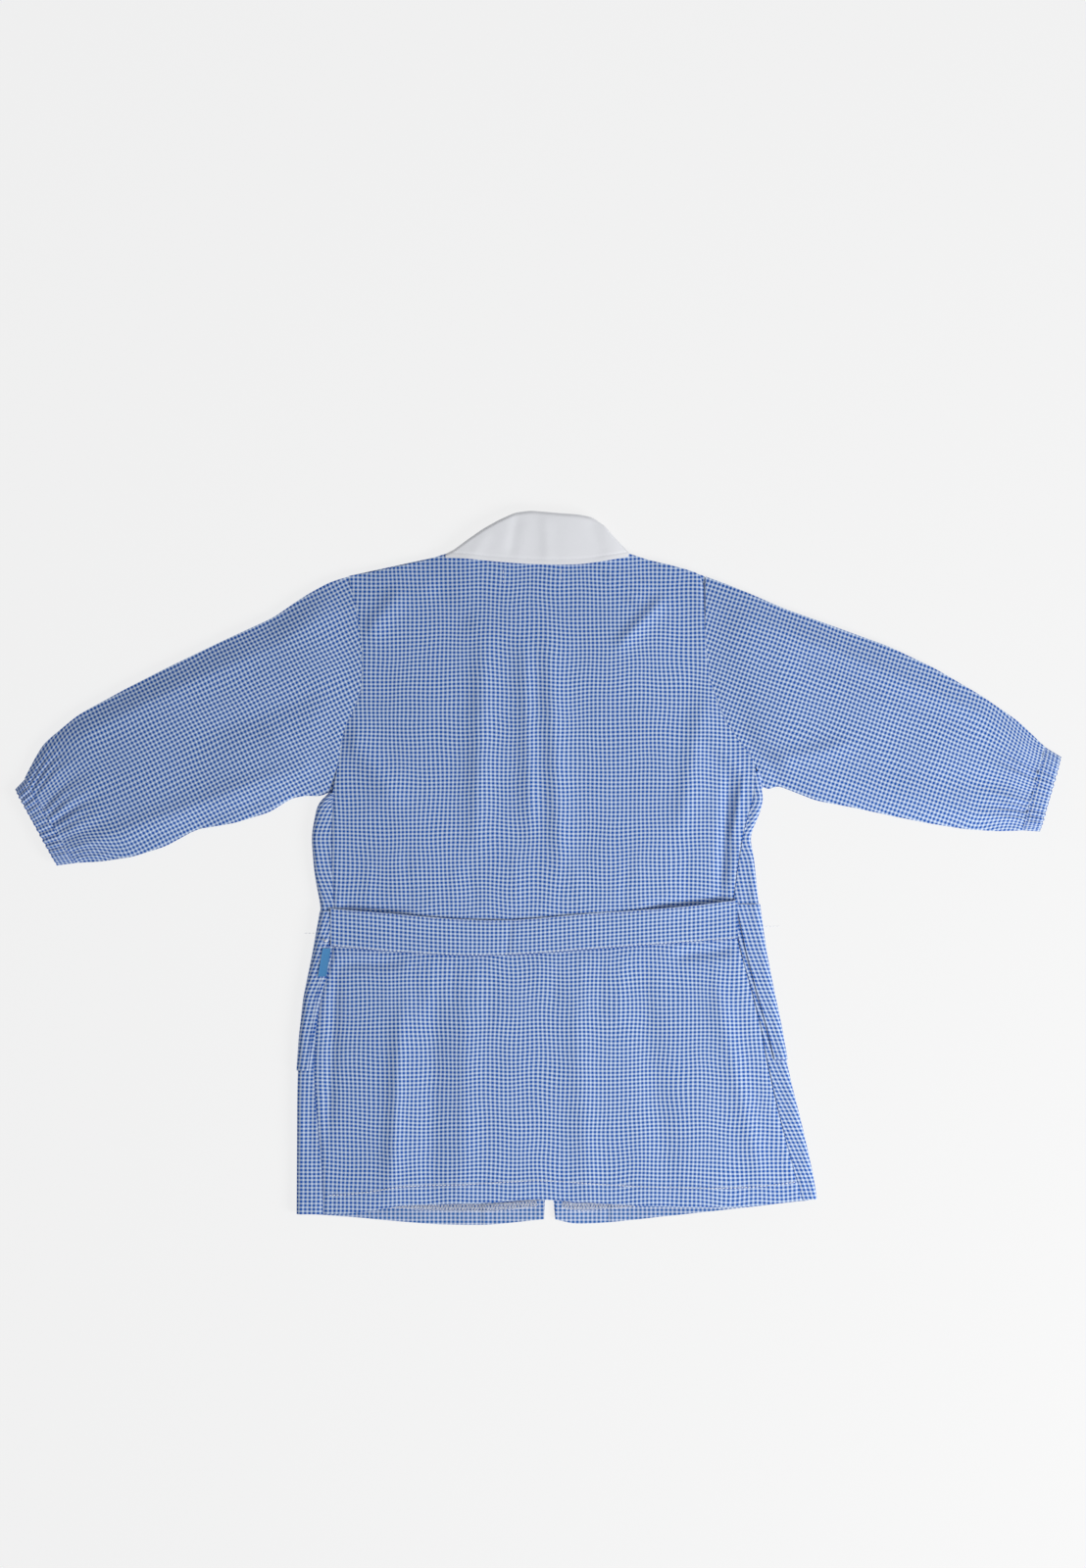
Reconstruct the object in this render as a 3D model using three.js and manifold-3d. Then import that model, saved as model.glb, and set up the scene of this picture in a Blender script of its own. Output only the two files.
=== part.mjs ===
// A small child's school smock in thin cotton, lying flat with its back upwards.
// Millimetres. +X is the right-hand side of the back, +Y points to the collar, +Z points up.
import * as THREE from "three";
import { mergeVertices } from "three/addons/utils/BufferGeometryUtils.js";
import Module from "manifold-3d";

// ---- driving dimensions ----
const BODY_LENGTH = 636; // front hem to the top of the collar
const BODY_WIDTH = 406; // across the back at the belt
const SLEEVE_REACH = 296; // shoulder tip to cuff, measured across the body
const CLOTH = 1.0; // a cloth layer with its seams and turnings
const FACING = 0.8; // the turned-back front edge
const POCKET = 0.9; // patch pocket
const COLLAR = 0.9; // collar cloth with its lining
const BELT = 0.9; // half-belt
const TAB = 0.5; // woven tab
const GAP = 0.3; // clearance between layers
const SEAM = 0.5; // clearance where two pieces meet edge to edge
const SIDE_DEPTH = 7.8; // height of the rolled side, front layer to side seam
const BACK_RISE = 3.5; // the back lies this much higher in its middle than at the side seams
const SLEEVE_DEPTH = 12.4; // a sleeve lying flat
const CUFF_DEPTH = 11; // a gathered cuff lying flat
const CUFF_WALL = 0.7;
const ELASTIC = 0.6;
const FACING_WIDTH = 52;
const BUTTON_DIAMETER = 13;
const BUTTON_DEPTH = 2.2;
const BUTTON_PITCH = 75;
const BUTTON_COUNT = 5;
const BUTTON_TOP = 200; // the top button, up from the middle of the body
const THREAD = 2; // diameter of the sewn shank
const BUTTONHOLE = 15;
const OVERLAP = 28; // the left front over the right one, at the buttons
const TAB_WIDTH = 7.4;
const TAB_LENGTH = 25;

// ---- heights of the layers, from the surface that the smock lies on ----
const frontZ = POCKET + GAP + CLOTH / 2;
const leftEdgeZ = BUTTON_DEPTH + GAP + CLOTH / 2;
const facingLift = CLOTH / 2 + GAP + FACING / 2;
const rightEdgeZ = leftEdgeZ + facingLift + FACING / 2 + GAP + CLOTH / 2;
const seamZ = frontZ + SIDE_DEPTH;
const shoulderZ = (frontZ + seamZ) / 2;
const rollRadius = SIDE_DEPTH / 2;

// ---- small tools ----
const wide = BODY_WIDTH / 406;
const long = BODY_LENGTH / 636;
const reach = SLEEVE_REACH / 296;
const smooth = (x, low, high) => THREE.MathUtils.smoothstep(x, low, high);
const lerp = THREE.MathUtils.lerp;
const body = (pairs) => pairs.map(([x, y]) => new THREE.Vector2(x * wide, y * long));

// A smooth line through points, read by its share of the length.
function line(points) {
  const curve = new THREE.CatmullRomCurve3(
    points.map((p) => new THREE.Vector3(p.x, p.y, 0)),
    false,
    "centripetal",
  );
  curve.arcLengthDivisions = 400;
  return (t) => {
    const p = curve.getPointAt(THREE.MathUtils.clamp(t, 0, 1));
    return new THREE.Vector2(p.x, p.y);
  };
}

// The value of a smooth line at a station along one axis: points run from low to high on that axis.
function readAt(points, station, along = "y", across = "x") {
  const p = points;
  let i = 0;
  while (i < p.length - 2 && station > p[i + 1][along]) i++;
  const slope = (a, b) => (p[b][across] - p[a][across]) / (p[b][along] - p[a][along]);
  const step = p[i + 1][along] - p[i][along];
  const t = THREE.MathUtils.clamp((station - p[i][along]) / step, -0.2, 1.2);
  const inSlope = i > 0 ? slope(i - 1, i + 1) : slope(i, i + 1);
  const outSlope = i < p.length - 2 ? slope(i, i + 2) : slope(i, i + 1);
  const t2 = t * t;
  const t3 = t2 * t;
  return (
    (2 * t3 - 3 * t2 + 1) * p[i][across] +
    (t3 - 2 * t2 + t) * step * inSlope +
    (3 * t2 - 2 * t3) * p[i + 1][across] +
    (t3 - t2) * step * outSlope
  );
}

function geometryOf(positions, index) {
  const geometry = new THREE.BufferGeometry();
  geometry.setAttribute("position", new THREE.Float32BufferAttribute(positions, 3));
  geometry.setIndex(index);
  const at = (k) => new THREE.Vector3().fromArray(positions, 3 * k);
  let volume = 0;
  for (let k = 0; k < index.length; k += 3)
    volume += at(index[k]).dot(at(index[k + 1]).cross(at(index[k + 2])));
  if (volume < 0)
    for (let k = 0; k < index.length; k += 3)
      [index[k + 1], index[k + 2]] = [index[k + 2], index[k + 1]];
  geometry.setIndex(index);
  geometry.computeVertexNormals();
  return geometry;
}

// The surface normal at each point of a grid (rows of points), missing points left out.
function gridNormals(grid) {
  return grid.map((row, j) =>
    row.map((p, i) => {
      if (!p) return null;
      const pick = (a, b) => (grid[a] && grid[a][b]) || null;
      const west = pick(j, i - 1) || p;
      const east = pick(j, i + 1) || p;
      const south = pick(j - 1, i) || p;
      const north = pick(j + 1, i) || p;
      return east.clone().sub(west).cross(north.clone().sub(south)).normalize();
    }),
  );
}

// A grid moved along its own normals.
function offsetGrid(grid, distance) {
  const normals = gridNormals(grid);
  return grid.map((row, j) =>
    row.map((p, i) => p && p.clone().addScaledVector(normals[j][i], distance)),
  );
}

const block = (grid, j0, j1, i0, i1) => grid.slice(j0, j1 + 1).map((row) => row.slice(i0, i1 + 1));

// A closed thin solid round a grid of points; a cell with a missing corner stays open.
function sheet(grid, thickness) {
  const normals = gridNormals(grid);
  const positions = [];
  const ids = grid.map((row, j) =>
    row.map((p, i) => {
      if (!p) return -1;
      for (const side of [0.5, -0.5])
        positions.push(...p.clone().addScaledVector(normals[j][i], side * thickness).toArray());
      return positions.length / 3 - 2;
    }),
  );
  const index = [];
  const edges = new Map();
  for (let j = 0; j + 1 < grid.length; j++)
    for (let i = 0; i + 1 < grid[j].length; i++) {
      const q = [ids[j][i], ids[j][i + 1], ids[j + 1][i + 1], ids[j + 1][i]];
      if (q.includes(-1) || q.includes(undefined)) continue;
      // Each cell is split along its shorter diagonal.
      const [a, b, c, d] =
        grid[j][i].distanceTo(grid[j + 1][i + 1]) <= grid[j][i + 1].distanceTo(grid[j + 1][i])
          ? q
          : [q[1], q[2], q[3], q[0]];
      index.push(a, b, c, a, c, d);
      index.push(a + 1, c + 1, b + 1, a + 1, d + 1, c + 1);
      q.forEach((from, k) => {
        const to = q[(k + 1) % 4];
        if (!edges.delete(`${to},${from}`)) edges.set(`${from},${to}`, [from, to]);
      });
    }
  for (const [a, b] of edges.values()) index.push(a, a + 1, b + 1, a, b + 1, b);
  return geometryOf(positions, index);
}

// A closed ring-shaped solid: a closed profile carried round the stations of a closed path.
function ring(profile, path, place) {
  const positions = [];
  const index = [];
  const n = profile.length;
  const around = path.length;
  for (const station of path)
    for (const [along, depth] of profile) positions.push(...place(along, depth, station).toArray());
  for (let k = 0; k < around; k++)
    for (let m = 0; m < n; m++) {
      const a = k * n + m;
      const b = k * n + ((m + 1) % n);
      const c = ((k + 1) % around) * n + ((m + 1) % n);
      const d = ((k + 1) % around) * n + m;
      index.push(a, b, c, a, c, d);
    }
  return geometryOf(positions, index);
}

// ---- cutting with another closed solid ----
const wasm = await Module();
wasm.setup();
function solid(geometry) {
  const bare = geometry.clone();
  bare.deleteAttribute("normal");
  bare.deleteAttribute("uv");
  const merged = mergeVertices(bare, 1e-4);
  return new wasm.Manifold(
    new wasm.Mesh({
      numProp: 3,
      vertProperties: new Float32Array(merged.attributes.position.array),
      triVerts: new Uint32Array(merged.index.array),
    }),
  );
}
function cut(geometry, tools) {
  const result = tools.reduce((left, tool) => left.subtract(solid(tool)), solid(geometry)).getMesh();
  return geometryOf(Array.from(result.vertProperties), Array.from(result.triVerts));
}

// ---- outlines of the body ----
// For each side: the rolled outline and the side seam, hem to armpit, the armhole from the armpit's
// outer point to the shoulder tip, the shoulder's neck end and the neckline of the front.
const sides = {
  left: {
    sign: -1,
    outline: body([
      [-214, -307], [-213.6, -234], [-213, -181], [-210, -142], [-205, -103], [-199, -77],
      [-194, -51], [-192, -34], [-197, -12], [-200.5, 14], [-201, 27], [-200, 42], [-194.6, 62.6],
    ]),
    seam: body([
      [-193, -307], [-194, -265], [-198, -225], [-201, -175], [-197, -123], [-189, -97],
      [-183, -68], [-183, -32], [-186, 14], [-184, 62.6],
    ]),
    armhole: body([
      [-194.6, 63.8], [-188, 65.2], [-183, 69], [-180, 80], [-174, 120], [-166, 141],
      [-160, 156], [-158, 179], [-158, 200], [-163, 231], [-169, 260],
    ]),
    shoulderNeck: body([[-79, 280]])[0],
    neckline: body([[-2, 222], [-24, 226.5], [-50, 243], [-66, 262], [-78, 279.6]]),
    hem: body([[-214, -307], [-192, -307.5], [-148, -312], [-78, -317.4], [-47, -317.4], [6, -312]]),
    edge: [5.7 * wide, (6 + OVERLAP / 2) * wide],
  },
  right: {
    sign: 1,
    outline: body([
      [248, -294], [245, -273], [233, -220], [223, -181], [216, -142], [205, -90], [200.5, -64],
      [197, -38], [194, -12], [192, 14], [192, 27], [196, 46], [202, 66],
    ]),
    seam: body([
      [237, -294], [230, -266], [223, -242], [211, -192], [206, -169], [199, -131], [180, -62],
      [176, -28], [181, 6], [185, 32], [195, 66],
    ]),
    armhole: body([
      [202, 67.2], [200, 72], [199, 84], [187, 107], [175, 121], [167, 137.5], [157, 164],
      [153.5, 184], [151, 205], [151, 226], [150, 260],
    ]),
    shoulderNeck: body([[79, 280]])[0],
    neckline: body([[14, 222], [34, 227], [56, 243], [70, 262], [78, 279.6]]),
    hem: body([[16.6, -312], [27, -316], [69, -314.5], [127.5, -308], [193, -301], [248, -294]]),
    edge: [16.6 * wide, (6 - OVERLAP / 2) * wide],
  },
};

// Rows of the fronts below the armpit, as shares of the way from the hem to the armpit.
const pocketRows = [5, 9];
const lowerRows = [0, 0.045, 0.12, 0.2, 0.275, 0.345, 0.43, 0.52, 0.62, 0.73, 0.82, 0.91, 1];
// Above it: shares of the armhole, armpit to shoulder tip, that the fronts, back and sleeves all use,
// and for the first of them how far up the front edge the row starts; the rest start on the neckline.
const armholeShares = [0.07, 0.14, 0.24, 0.36, 0.5, 0.64, 0.76, 0.86, 0.93, 1];
const edgeShares = [0.02, 0.12, 0.3, 0.6, 1];

// The armhole edge of the body at a share of its length, a seam's clearance inside the sleeve.
function armholeInset(side, share) {
  const armhole = line(side.armhole);
  const run = armhole(share + 0.01).sub(armhole(share - 0.01)).normalize();
  return armhole(share).add(new THREE.Vector2(run.y, -run.x).multiplyScalar(-side.sign * SEAM));
}

// Height of a front's layer: it climbs over the buttons or over the other front near its edge and
// up to the seam at the shoulder.
function frontHeight(side, x, y, armholeTip) {
  const raised =
    side.sign < 0
      ? leftEdgeZ + (frontZ - leftEdgeZ) * smooth(-x, 22 * wide, 48 * wide)
      : lerp(rightEdgeZ, frontZ, smooth(x, 30 * wide, 48 * wide));
  const open = smooth(y, -306 * long, -264 * long);
  const neckEnd = side.shoulderNeck;
  const t = (x - neckEnd.x) / (armholeTip.x - neckEnd.x);
  const below = neckEnd.y + t * (armholeTip.y - neckEnd.y) - y;
  const climb = (1 - smooth(below, 0, 34)) * smooth(Math.abs(x), 52 * wide, 80 * wide);
  return lerp(frontZ, raised, open) + (shoulderZ - (CLOTH + GAP) / 2 - frontZ) * climb;
}

// The middle surface of a front: front edge, facing, flat part, rolled side, strip to the side seam.
const facingSteps = [0, 0.31, 0.615, 1];
const flatSteps = [0.25, 0.5, 0.75, 1];
const rollSteps = [-45, 0, 45, 90];
function frontGrid(side) {
  const { sign, outline, seam, neckline, hem, edge } = side;
  const tip = armholeInset(side, 1);
  const neckStart = 226 * long;
  const edgeX = (y) => lerp(edge[0], edge[1], smooth(y, -312 * long, -150 * long));
  const rows = [];
  const addRow = (inner, outer) => {
    const row = [];
    const across = outer.clone().sub(inner);
    const facing = FACING_WIDTH * wide / across.length();
    const put = (t) => {
      const p = inner.clone().addScaledVector(across, t);
      row.push(new THREE.Vector3(p.x, p.y, frontHeight(side, p.x, p.y, tip)));
    };
    facingSteps.forEach((t) => put(facing * t));
    flatSteps.forEach((t) => put(facing + (1 - facing) * t));
    rows.push(row);
    return row;
  };
  lowerRows.forEach((share, j) => {
    const y = lerp(outline[0].y, outline.at(-1).y, share);
    const edgeOut = readAt(outline, y);
    const seamOut = readAt(seam, y);
    const centre = edgeOut - sign * (rollRadius + CLOTH / 2);
    const row = addRow(new THREE.Vector2(edgeX(y), y), new THREE.Vector2(centre, y));
    for (const angle of rollSteps) {
      const a = THREE.MathUtils.degToRad(angle);
      row.push(
        new THREE.Vector3(
          centre + sign * rollRadius * Math.cos(a),
          y,
          shoulderZ + rollRadius * Math.sin(a),
        ),
      );
    }
    row.push(new THREE.Vector3(seamOut, y, seamZ));
    // The hem is bowed: the lowest rows follow it.
    const follow = Math.max(0, 1 - j / 4);
    const flatHem = outline[0].y;
    row.forEach((p) => (p.y += follow * (hemAt(hem, p.x) - flatHem)));
  });
  const armpit = outline.at(-1).y;
  armholeShares.forEach((share, k) => {
    const y = lerp(armpit, neckStart, edgeShares[k]);
    const onEdge = k < edgeShares.length;
    const inner = onEdge ? new THREE.Vector2(edgeX(y), y) : neckline[k - edgeShares.length];
    addRow(inner, armholeInset(side, share));
  });
  return rows;
}

// The hem's height at x: the points run outwards on the left and on the right.
function hemAt(hem, x) {
  return readAt(hem, THREE.MathUtils.clamp(x, hem[0].x, hem[hem.length - 1].x), "x", "y");
}

const grids = { left: frontGrid(sides.left), right: frontGrid(sides.right) };
const facingTop = lowerRows.length + edgeShares.length - 1;
const flatEnd = facingSteps.length - 1 + flatSteps.length;
const wholeRow = flatEnd + rollSteps.length + 1;

// Which way a grid's normal points: the inside of the smock is up.
const upward = (grid) => (gridNormals(block(grid, 0, 4, 0, 4))[1][1].z > 0 ? 1 : -1);

function facingGrid(grid) {
  const inside = offsetGrid(grid, upward(grid) * facingLift);
  return block(inside, 1, facingTop, 0, facingSteps.length - 1);
}
function pocketGrid(grid) {
  const outside = offsetGrid(grid, -upward(grid) * (CLOTH / 2 + GAP + POCKET / 2));
  return block(outside, pocketRows[0], pocketRows[1], facingSteps.length, wholeRow);
}

// ---- the back ----
const backHem = body([
  [-156, -305], [-125, -299], [-78, -297.5], [-47, -296], [6, -293], [19, -294], [99, -299],
  [188, -299.5],
]);
const backTop = body([
  [-148, 263.5], [-125, 268.5], [-88, 277], [-78, 281], [-40, 279.5], [0, 279], [40, 279.5],
  [78, 281], [88, 277], [113.5, 271], [132, 266],
]);
const backColumns = 18;

// The back's edge on one side, row by row: up the side seam, then round the armhole.
function backEdge(side) {
  const up = lowerRows.map((share) => {
    const y = lerp(side.seam[0].y, side.seam.at(-1).y, share);
    return new THREE.Vector2(readAt(side.seam, y) - side.sign * SEAM, y);
  });
  return [...up, ...armholeShares.slice(1).map((share) => armholeInset(side, share))];
}
function backPlan() {
  const west = backEdge(sides.left);
  const east = backEdge(sides.right);
  const bottom = line([west[0], ...backHem, east[0]]);
  const top = line([west.at(-1), ...backTop, east.at(-1)]);
  const last = west.length - 1;
  return west.map((_, j) => {
    const v = (west[j].y + east[j].y - west[0].y - east[0].y) /
      (west[last].y + east[last].y - west[0].y - east[0].y);
    return Array.from({ length: backColumns + 1 }, (_, i) => {
      const u = i / backColumns;
      const coons = (axis) =>
        (1 - u) * west[j][axis] + u * east[j][axis] +
        (1 - v) * bottom(u)[axis] + v * top(u)[axis] -
        (1 - v) * ((1 - u) * west[0][axis] + u * east[0][axis]) -
        v * ((1 - u) * west[last][axis] + u * east[last][axis]);
      return new THREE.Vector2(coons("x"), coons("y"));
    });
  });
}

// Height of the back's layer: higher in the middle, down to the seams at the sides and shoulders.
function backHeight(x, y) {
  const low = y < sides.left.seam[sides.left.seam.length - 1].y;
  const reading = (side) =>
    low ? readAt(side.seam, Math.max(y, side.seam[0].y)) : readAt(side.armhole.slice(3), y);
  const fromSide = Math.min(x - reading(sides.left), reading(sides.right) - x);
  const topY = readAt(backTop, THREE.MathUtils.clamp(x, backTop[0].x, backTop.at(-1).x), "x", "y");
  const fromTop = topY - y;
  const flat = seamZ + BACK_RISE * smooth(fromSide, 0, 85) * smooth(fromTop, 4, 90);
  const shoulder = (1 - smooth(fromTop, 0, 40)) * smooth(Math.abs(x), 60 * wide, 92 * wide);
  return lerp(flat, shoulderZ + (CLOTH + GAP) / 2, shoulder);
}
const backGrid = backPlan().map((row) =>
  row.map((p) => new THREE.Vector3(p.x, p.y, backHeight(p.x, p.y))),
);

// ---- the half-belt, lying on the back between the side seams ----
const beltTop = body([[-182, -35.5], [-137, -39], [-78, -44], [-27, -45.5], [42, -40], [136, -33], [174, -28]]);
const beltFoot = body([[-184, -68.5], [-137, -73], [-63, -77], [-7, -75.5], [51, -71], [109, -67], [178, -62]]);
function beltGrid() {
  const rows = [];
  for (const v of [0, 0.33, 0.67, 1]) {
    const row = [];
    for (let i = 0; i <= backColumns; i++) {
      const u = i / backColumns;
      const foot = lerp(beltFoot[0].x, beltFoot.at(-1).x, u);
      const top = lerp(beltTop[0].x, beltTop.at(-1).x, u);
      const x = lerp(foot, top, v);
      const y = lerp(readAt(beltFoot, foot, "x", "y"), readAt(beltTop, top, "x", "y"), v);
      row.push(new THREE.Vector3(x, y, backHeight(x, y) + CLOTH / 2 + SEAM + BELT / 2 + GAP));
    }
    rows.push(row);
  }
  return rows;
}

// ---- the collar ----
const foldLine = body([
  [-82, 279.5], [-74, 283.5], [-54, 298], [-37, 308], [-20, 316], [-2.5, 317.8], [12, 316],
  [45, 313], [57, 306.5], [72, 290], [81, 281],
]);
const fallEdge = body([
  [-82, 276], [-72, 276], [-59, 275], [-41, 273], [-14.5, 271], [12, 270], [39, 270.5],
  [63, 274], [81, 277],
]);
const collarStations = [-82, -74, -62, -48, -34, -20, -6, 8, 22, 36, 48, 60, 71, 81].map((x) => x * wide);
const standZ = (x) => backHeight(x, readAt(backTop, x, "x", "y") - 0.1);
function fallGrid() {
  const lift = CLOTH / 2 + SEAM + COLLAR / 2;
  return [0, 0.35, 0.7, "near", "turn", "lip"].map((v) =>
    collarStations.map((x) => {
      const low = readAt(fallEdge, x, "x", "y");
      const fold = readAt(foldLine, x, "x", "y");
      const width = fold - low;
      const z = standZ(x) + lift;
      if (v === "near") return new THREE.Vector3(x, fold - Math.min(3, 0.2 * width), z);
      if (v === "turn") return new THREE.Vector3(x, fold - 0.8, z - 0.2);
      const drop = 1.5 * (1 - smooth(Math.abs(x), 56 * wide, 66 * wide));
      if (v === "lip") return new THREE.Vector3(x, fold - COLLAR / 2, z - drop);
      return new THREE.Vector3(x, lerp(low, fold - 3, v), z);
    }),
  );
}
function standGrid() {
  const stations = collarStations.filter((x) => Math.abs(x) < 66 * wide);
  return [0, 0.5, 1].map((v) =>
    stations.map((x) => {
      const low = readAt(backTop, x, "x", "y") + SEAM;
      const high = readAt(foldLine, x, "x", "y") - 1.6;
      return new THREE.Vector3(x, lerp(low, high, v), standZ(x));
    }),
  );
}
// A front point of the collar, turned down over the outside of its front.
const leafInner = body([[-80, 279], [-70, 262], [-53, 243], [-28, 226], [-2, 221]]);
const leafOuter = body([[-88, 275.5], [-99, 250], [-93, 215], [-72, 187], [-37, 160]]);
function leafGrid(side, shift) {
  const inner = line(leafInner);
  const outer = line(leafOuter);
  const tip = side.armhole.at(-1);
  return Array.from({ length: 9 }, (_, j) =>
    [0, 0.33, 0.67, 1].map((v) => {
      const p = inner(j / 8).lerp(outer(j / 8), v);
      const x = -side.sign * p.x + (side.sign > 0 ? shift : 0);
      const under = side.sign < 0 ? p.x : x;
      const climb = Math.abs(under) > 50 * wide ? frontHeight(side, under, p.y, tip) - frontZ : 0;
      const z = COLLAR / 2 + 0.4 * Math.max(0, climb);
      return new THREE.Vector3(under, p.y, z);
    }),
  );
}

// ---- sleeves and cuffs ----
const sleeves = {
  left: {
    side: sides.left,
    upper: body([
      [-169, 260], [-194.5, 251], [-216, 236], [-236, 223], [-263, 210], [-293, 197], [-319, 184],
      [-345, 171], [-370, 158], [-394.5, 145], [-416, 132], [-433, 119], [-444, 106], [-453, 93], [-456, 80],
    ]),
    lower: body([
      [-194.6, 63.8], [-216, 64], [-241, 49], [-266, 41], [-302, 35], [-330, 20], [-346, 14],
      [-376, 7], [-390, 6], [-412, 5],
    ]),
    wrist: body([[-456, 79], [-412, 5]]),
    mouth: body([[-464, 70.6], [-427, 3]]),
  },
  right: {
    side: sides.right,
    upper: body([
      [150, 260], [179, 249], [208, 236], [241, 223], [280, 210], [314, 197], [342, 184],
      [366, 171], [388, 158], [408, 145], [426, 132], [441, 119], [452, 107],
    ]),
    lower: body([
      [202, 67.2], [218, 76], [225, 69], [248, 60], [283, 53.5], [345, 40.5], [393, 33.5], [432, 34],
    ]),
    wrist: body([[452, 107], [432, 34]]),
    mouth: body([[465, 99], [446, 33]]),
  },
};
for (const sleeve of Object.values(sleeves)) {
  const root = sleeve.side.armhole.at(-1).x;
  const stretch = (p) => (p.x = root + (p.x - root) * (1 + (reach - 1) * smooth(Math.abs(p.x - root), 30, 90)));
  [sleeve.upper, sleeve.lower, sleeve.wrist, sleeve.mouth].forEach((list) => list.forEach(stretch));
}

// The outline of a flattened tube, a quarter at a time: share of the half width against half depth.
const quarter = [1, 0.985, 0.86, 0.72, 0.52, 0.28, 0];
const bulge = (w) => (1 - Math.abs(w) ** 3.2) ** (1 / 3.2);
const section = [
  ...quarter.map((w) => [w, bulge(w)]),
  ...quarter.slice(0, -1).toReversed().map((w) => [-w, bulge(w)]),
  ...quarter.slice(1).map((w) => [-w, -bulge(w)]),
  ...quarter.slice(1, -1).toReversed().map((w) => [w, -bulge(w)]),
];

// A point of a flattened tube: the plan gives the two long edges, the depth runs inwards.
function tubePoint(plan, depth, [w, rise], middle, half) {
  const width = plan(0).distanceTo(plan(1));
  const p = plan((1 - w * (1 - (2 * depth) / width)) / 2);
  return new THREE.Vector3(p.x, p.y, middle + rise * (half - depth));
}
function sleeveGeometry(sleeve) {
  const upper = line(sleeve.upper);
  const lower = line(sleeve.lower);
  const hole = line(sleeve.side.armhole.slice().reverse());
  const [c0, c1] = sleeve.wrist;
  const h0 = hole(0);
  const h1 = hole(1);
  const planAt = (s) => (t) => {
    const coons = (axis) =>
      (1 - s) * hole(t)[axis] + s * lerp(c0[axis], c1[axis], t) +
      (1 - t) * upper(s)[axis] + t * lower(s)[axis] -
      (1 - s) * ((1 - t) * h0[axis] + t * h1[axis]) -
      s * ((1 - t) * c0[axis] + t * c1[axis]);
    return new THREE.Vector2(coons("x"), coons("y"));
  };
  const stations = [0, 0.05, 0.12, 0.22, 0.36, 0.5, 0.64, 0.78, 0.9, 0.9985];
  const profile = [...stations.map((s) => [s, 0]), ...stations.toReversed().map((s) => [s, CLOTH])];
  const place = (s, depth, station) => {
    const full = smooth(s, 0, 0.16);
    const end = smooth(s, 0.75, 1);
    const half = lerp(lerp((SIDE_DEPTH + CLOTH) / 2, SLEEVE_DEPTH / 2, full), CUFF_DEPTH / 2, end);
    const middle = lerp(lerp(shoulderZ, SLEEVE_DEPTH / 2, full), CUFF_DEPTH / 2, end);
    return tubePoint(planAt(s), depth, station, middle, half);
  };
  return ring(profile, section, place);
}
function cuffPlace(sleeve) {
  return (k, depth, station) => {
    const [a, b] = sleeve.wrist;
    const [c, d] = sleeve.mouth;
    const plan = (t) => a.clone().lerp(b, t).lerp(c.clone().lerp(d, t), k);
    return tubePoint(plan, depth, station, CUFF_DEPTH / 2, CUFF_DEPTH / 2);
  };
}
const channel = CUFF_WALL + GAP + ELASTIC + GAP; // depth of the inner wall's outer face
const cuffProfile = [
  [0.02, 0], [0.5, 0], [1, 0], [1, channel + CUFF_WALL], [0.5, channel + CUFF_WALL],
  [0.02, channel + CUFF_WALL], [0.02, channel], [0.93, channel], [0.93, CUFF_WALL], [0.02, CUFF_WALL],
];
const elasticProfile = [
  [0.12, CUFF_WALL + GAP], [0.86, CUFF_WALL + GAP],
  [0.86, CUFF_WALL + GAP + ELASTIC], [0.12, CUFF_WALL + GAP + ELASTIC],
];

// ---- buttons, sewn to the right front through the buttonholes of the left ----
const buttonX = 6 * wide;
const buttonPlaces = Array.from({ length: BUTTON_COUNT }, (_, k) => (BUTTON_TOP - k * BUTTON_PITCH) * long);
const upright = (geometry) => geometry.rotateX(Math.PI / 2);
function buttonGeometry() {
  const r = BUTTON_DIAMETER / 2;
  const shankTop = rightEdgeZ - CLOTH / 2 - GAP;
  const profile = [
    [0, 0.7], [0.6 * r, 0.7], [0.75 * r, 0.15], [0.9 * r, 0], [r, 0.6], [r, 1.4],
    [0.9 * r, BUTTON_DEPTH], [THREAD / 2, BUTTON_DEPTH], [THREAD / 2, shankTop], [0, shankTop],
  ].map(([x, y]) => new THREE.Vector2(x, y));
  const head = upright(new THREE.LatheGeometry(profile, 20));
  const holes = [45, 135, 225, 315].map((angle) => {
    const a = THREE.MathUtils.degToRad(angle);
    const hole = upright(new THREE.CylinderGeometry(0.8, 0.8, 4, 6));
    return hole.translate(0.36 * r * Math.cos(a), 0.36 * r * Math.sin(a), 0.9);
  });
  return cut(head, holes);
}
const buttonholes = (z) =>
  buttonPlaces.map((y) =>
    new THREE.BoxGeometry(THREAD + 2 * GAP, BUTTONHOLE, 3).translate(buttonX, y, z),
  );

// ---- the tab, sewn into the left side seam below the belt ----
function tabGrid() {
  const z = seamZ + CLOTH / 2 + GAP + POCKET + GAP + TAB / 2;
  const top = beltFoot[0].y - 2;
  return [0, 0.5, 1].map((v) => {
    const y = top - TAB_LENGTH * (1 - v);
    const x = readAt(sides.left.seam, y) + 1.2 * (1 - v);
    return [1, 0.5, 0].map((t) => new THREE.Vector3(x - TAB_WIDTH * t, y, z));
  });
}

// ---- the assembly ----
const smock = new THREE.Group();
const colours = {
  gingham: 0x8ba1ca,
  white: 0xdbdce0,
  label: 0x4b89b9,
  plastic: 0xe8eaee,
  elastic: 0xe2e2e0,
};
function add(name, geometry, colour, roughness = 0.9) {
  const material = new THREE.MeshStandardMaterial({ color: colours[colour], roughness, metalness: 0 });
  const mesh = new THREE.Mesh(geometry, material);
  mesh.name = name;
  smock.add(mesh);
  return mesh;
}

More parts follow.
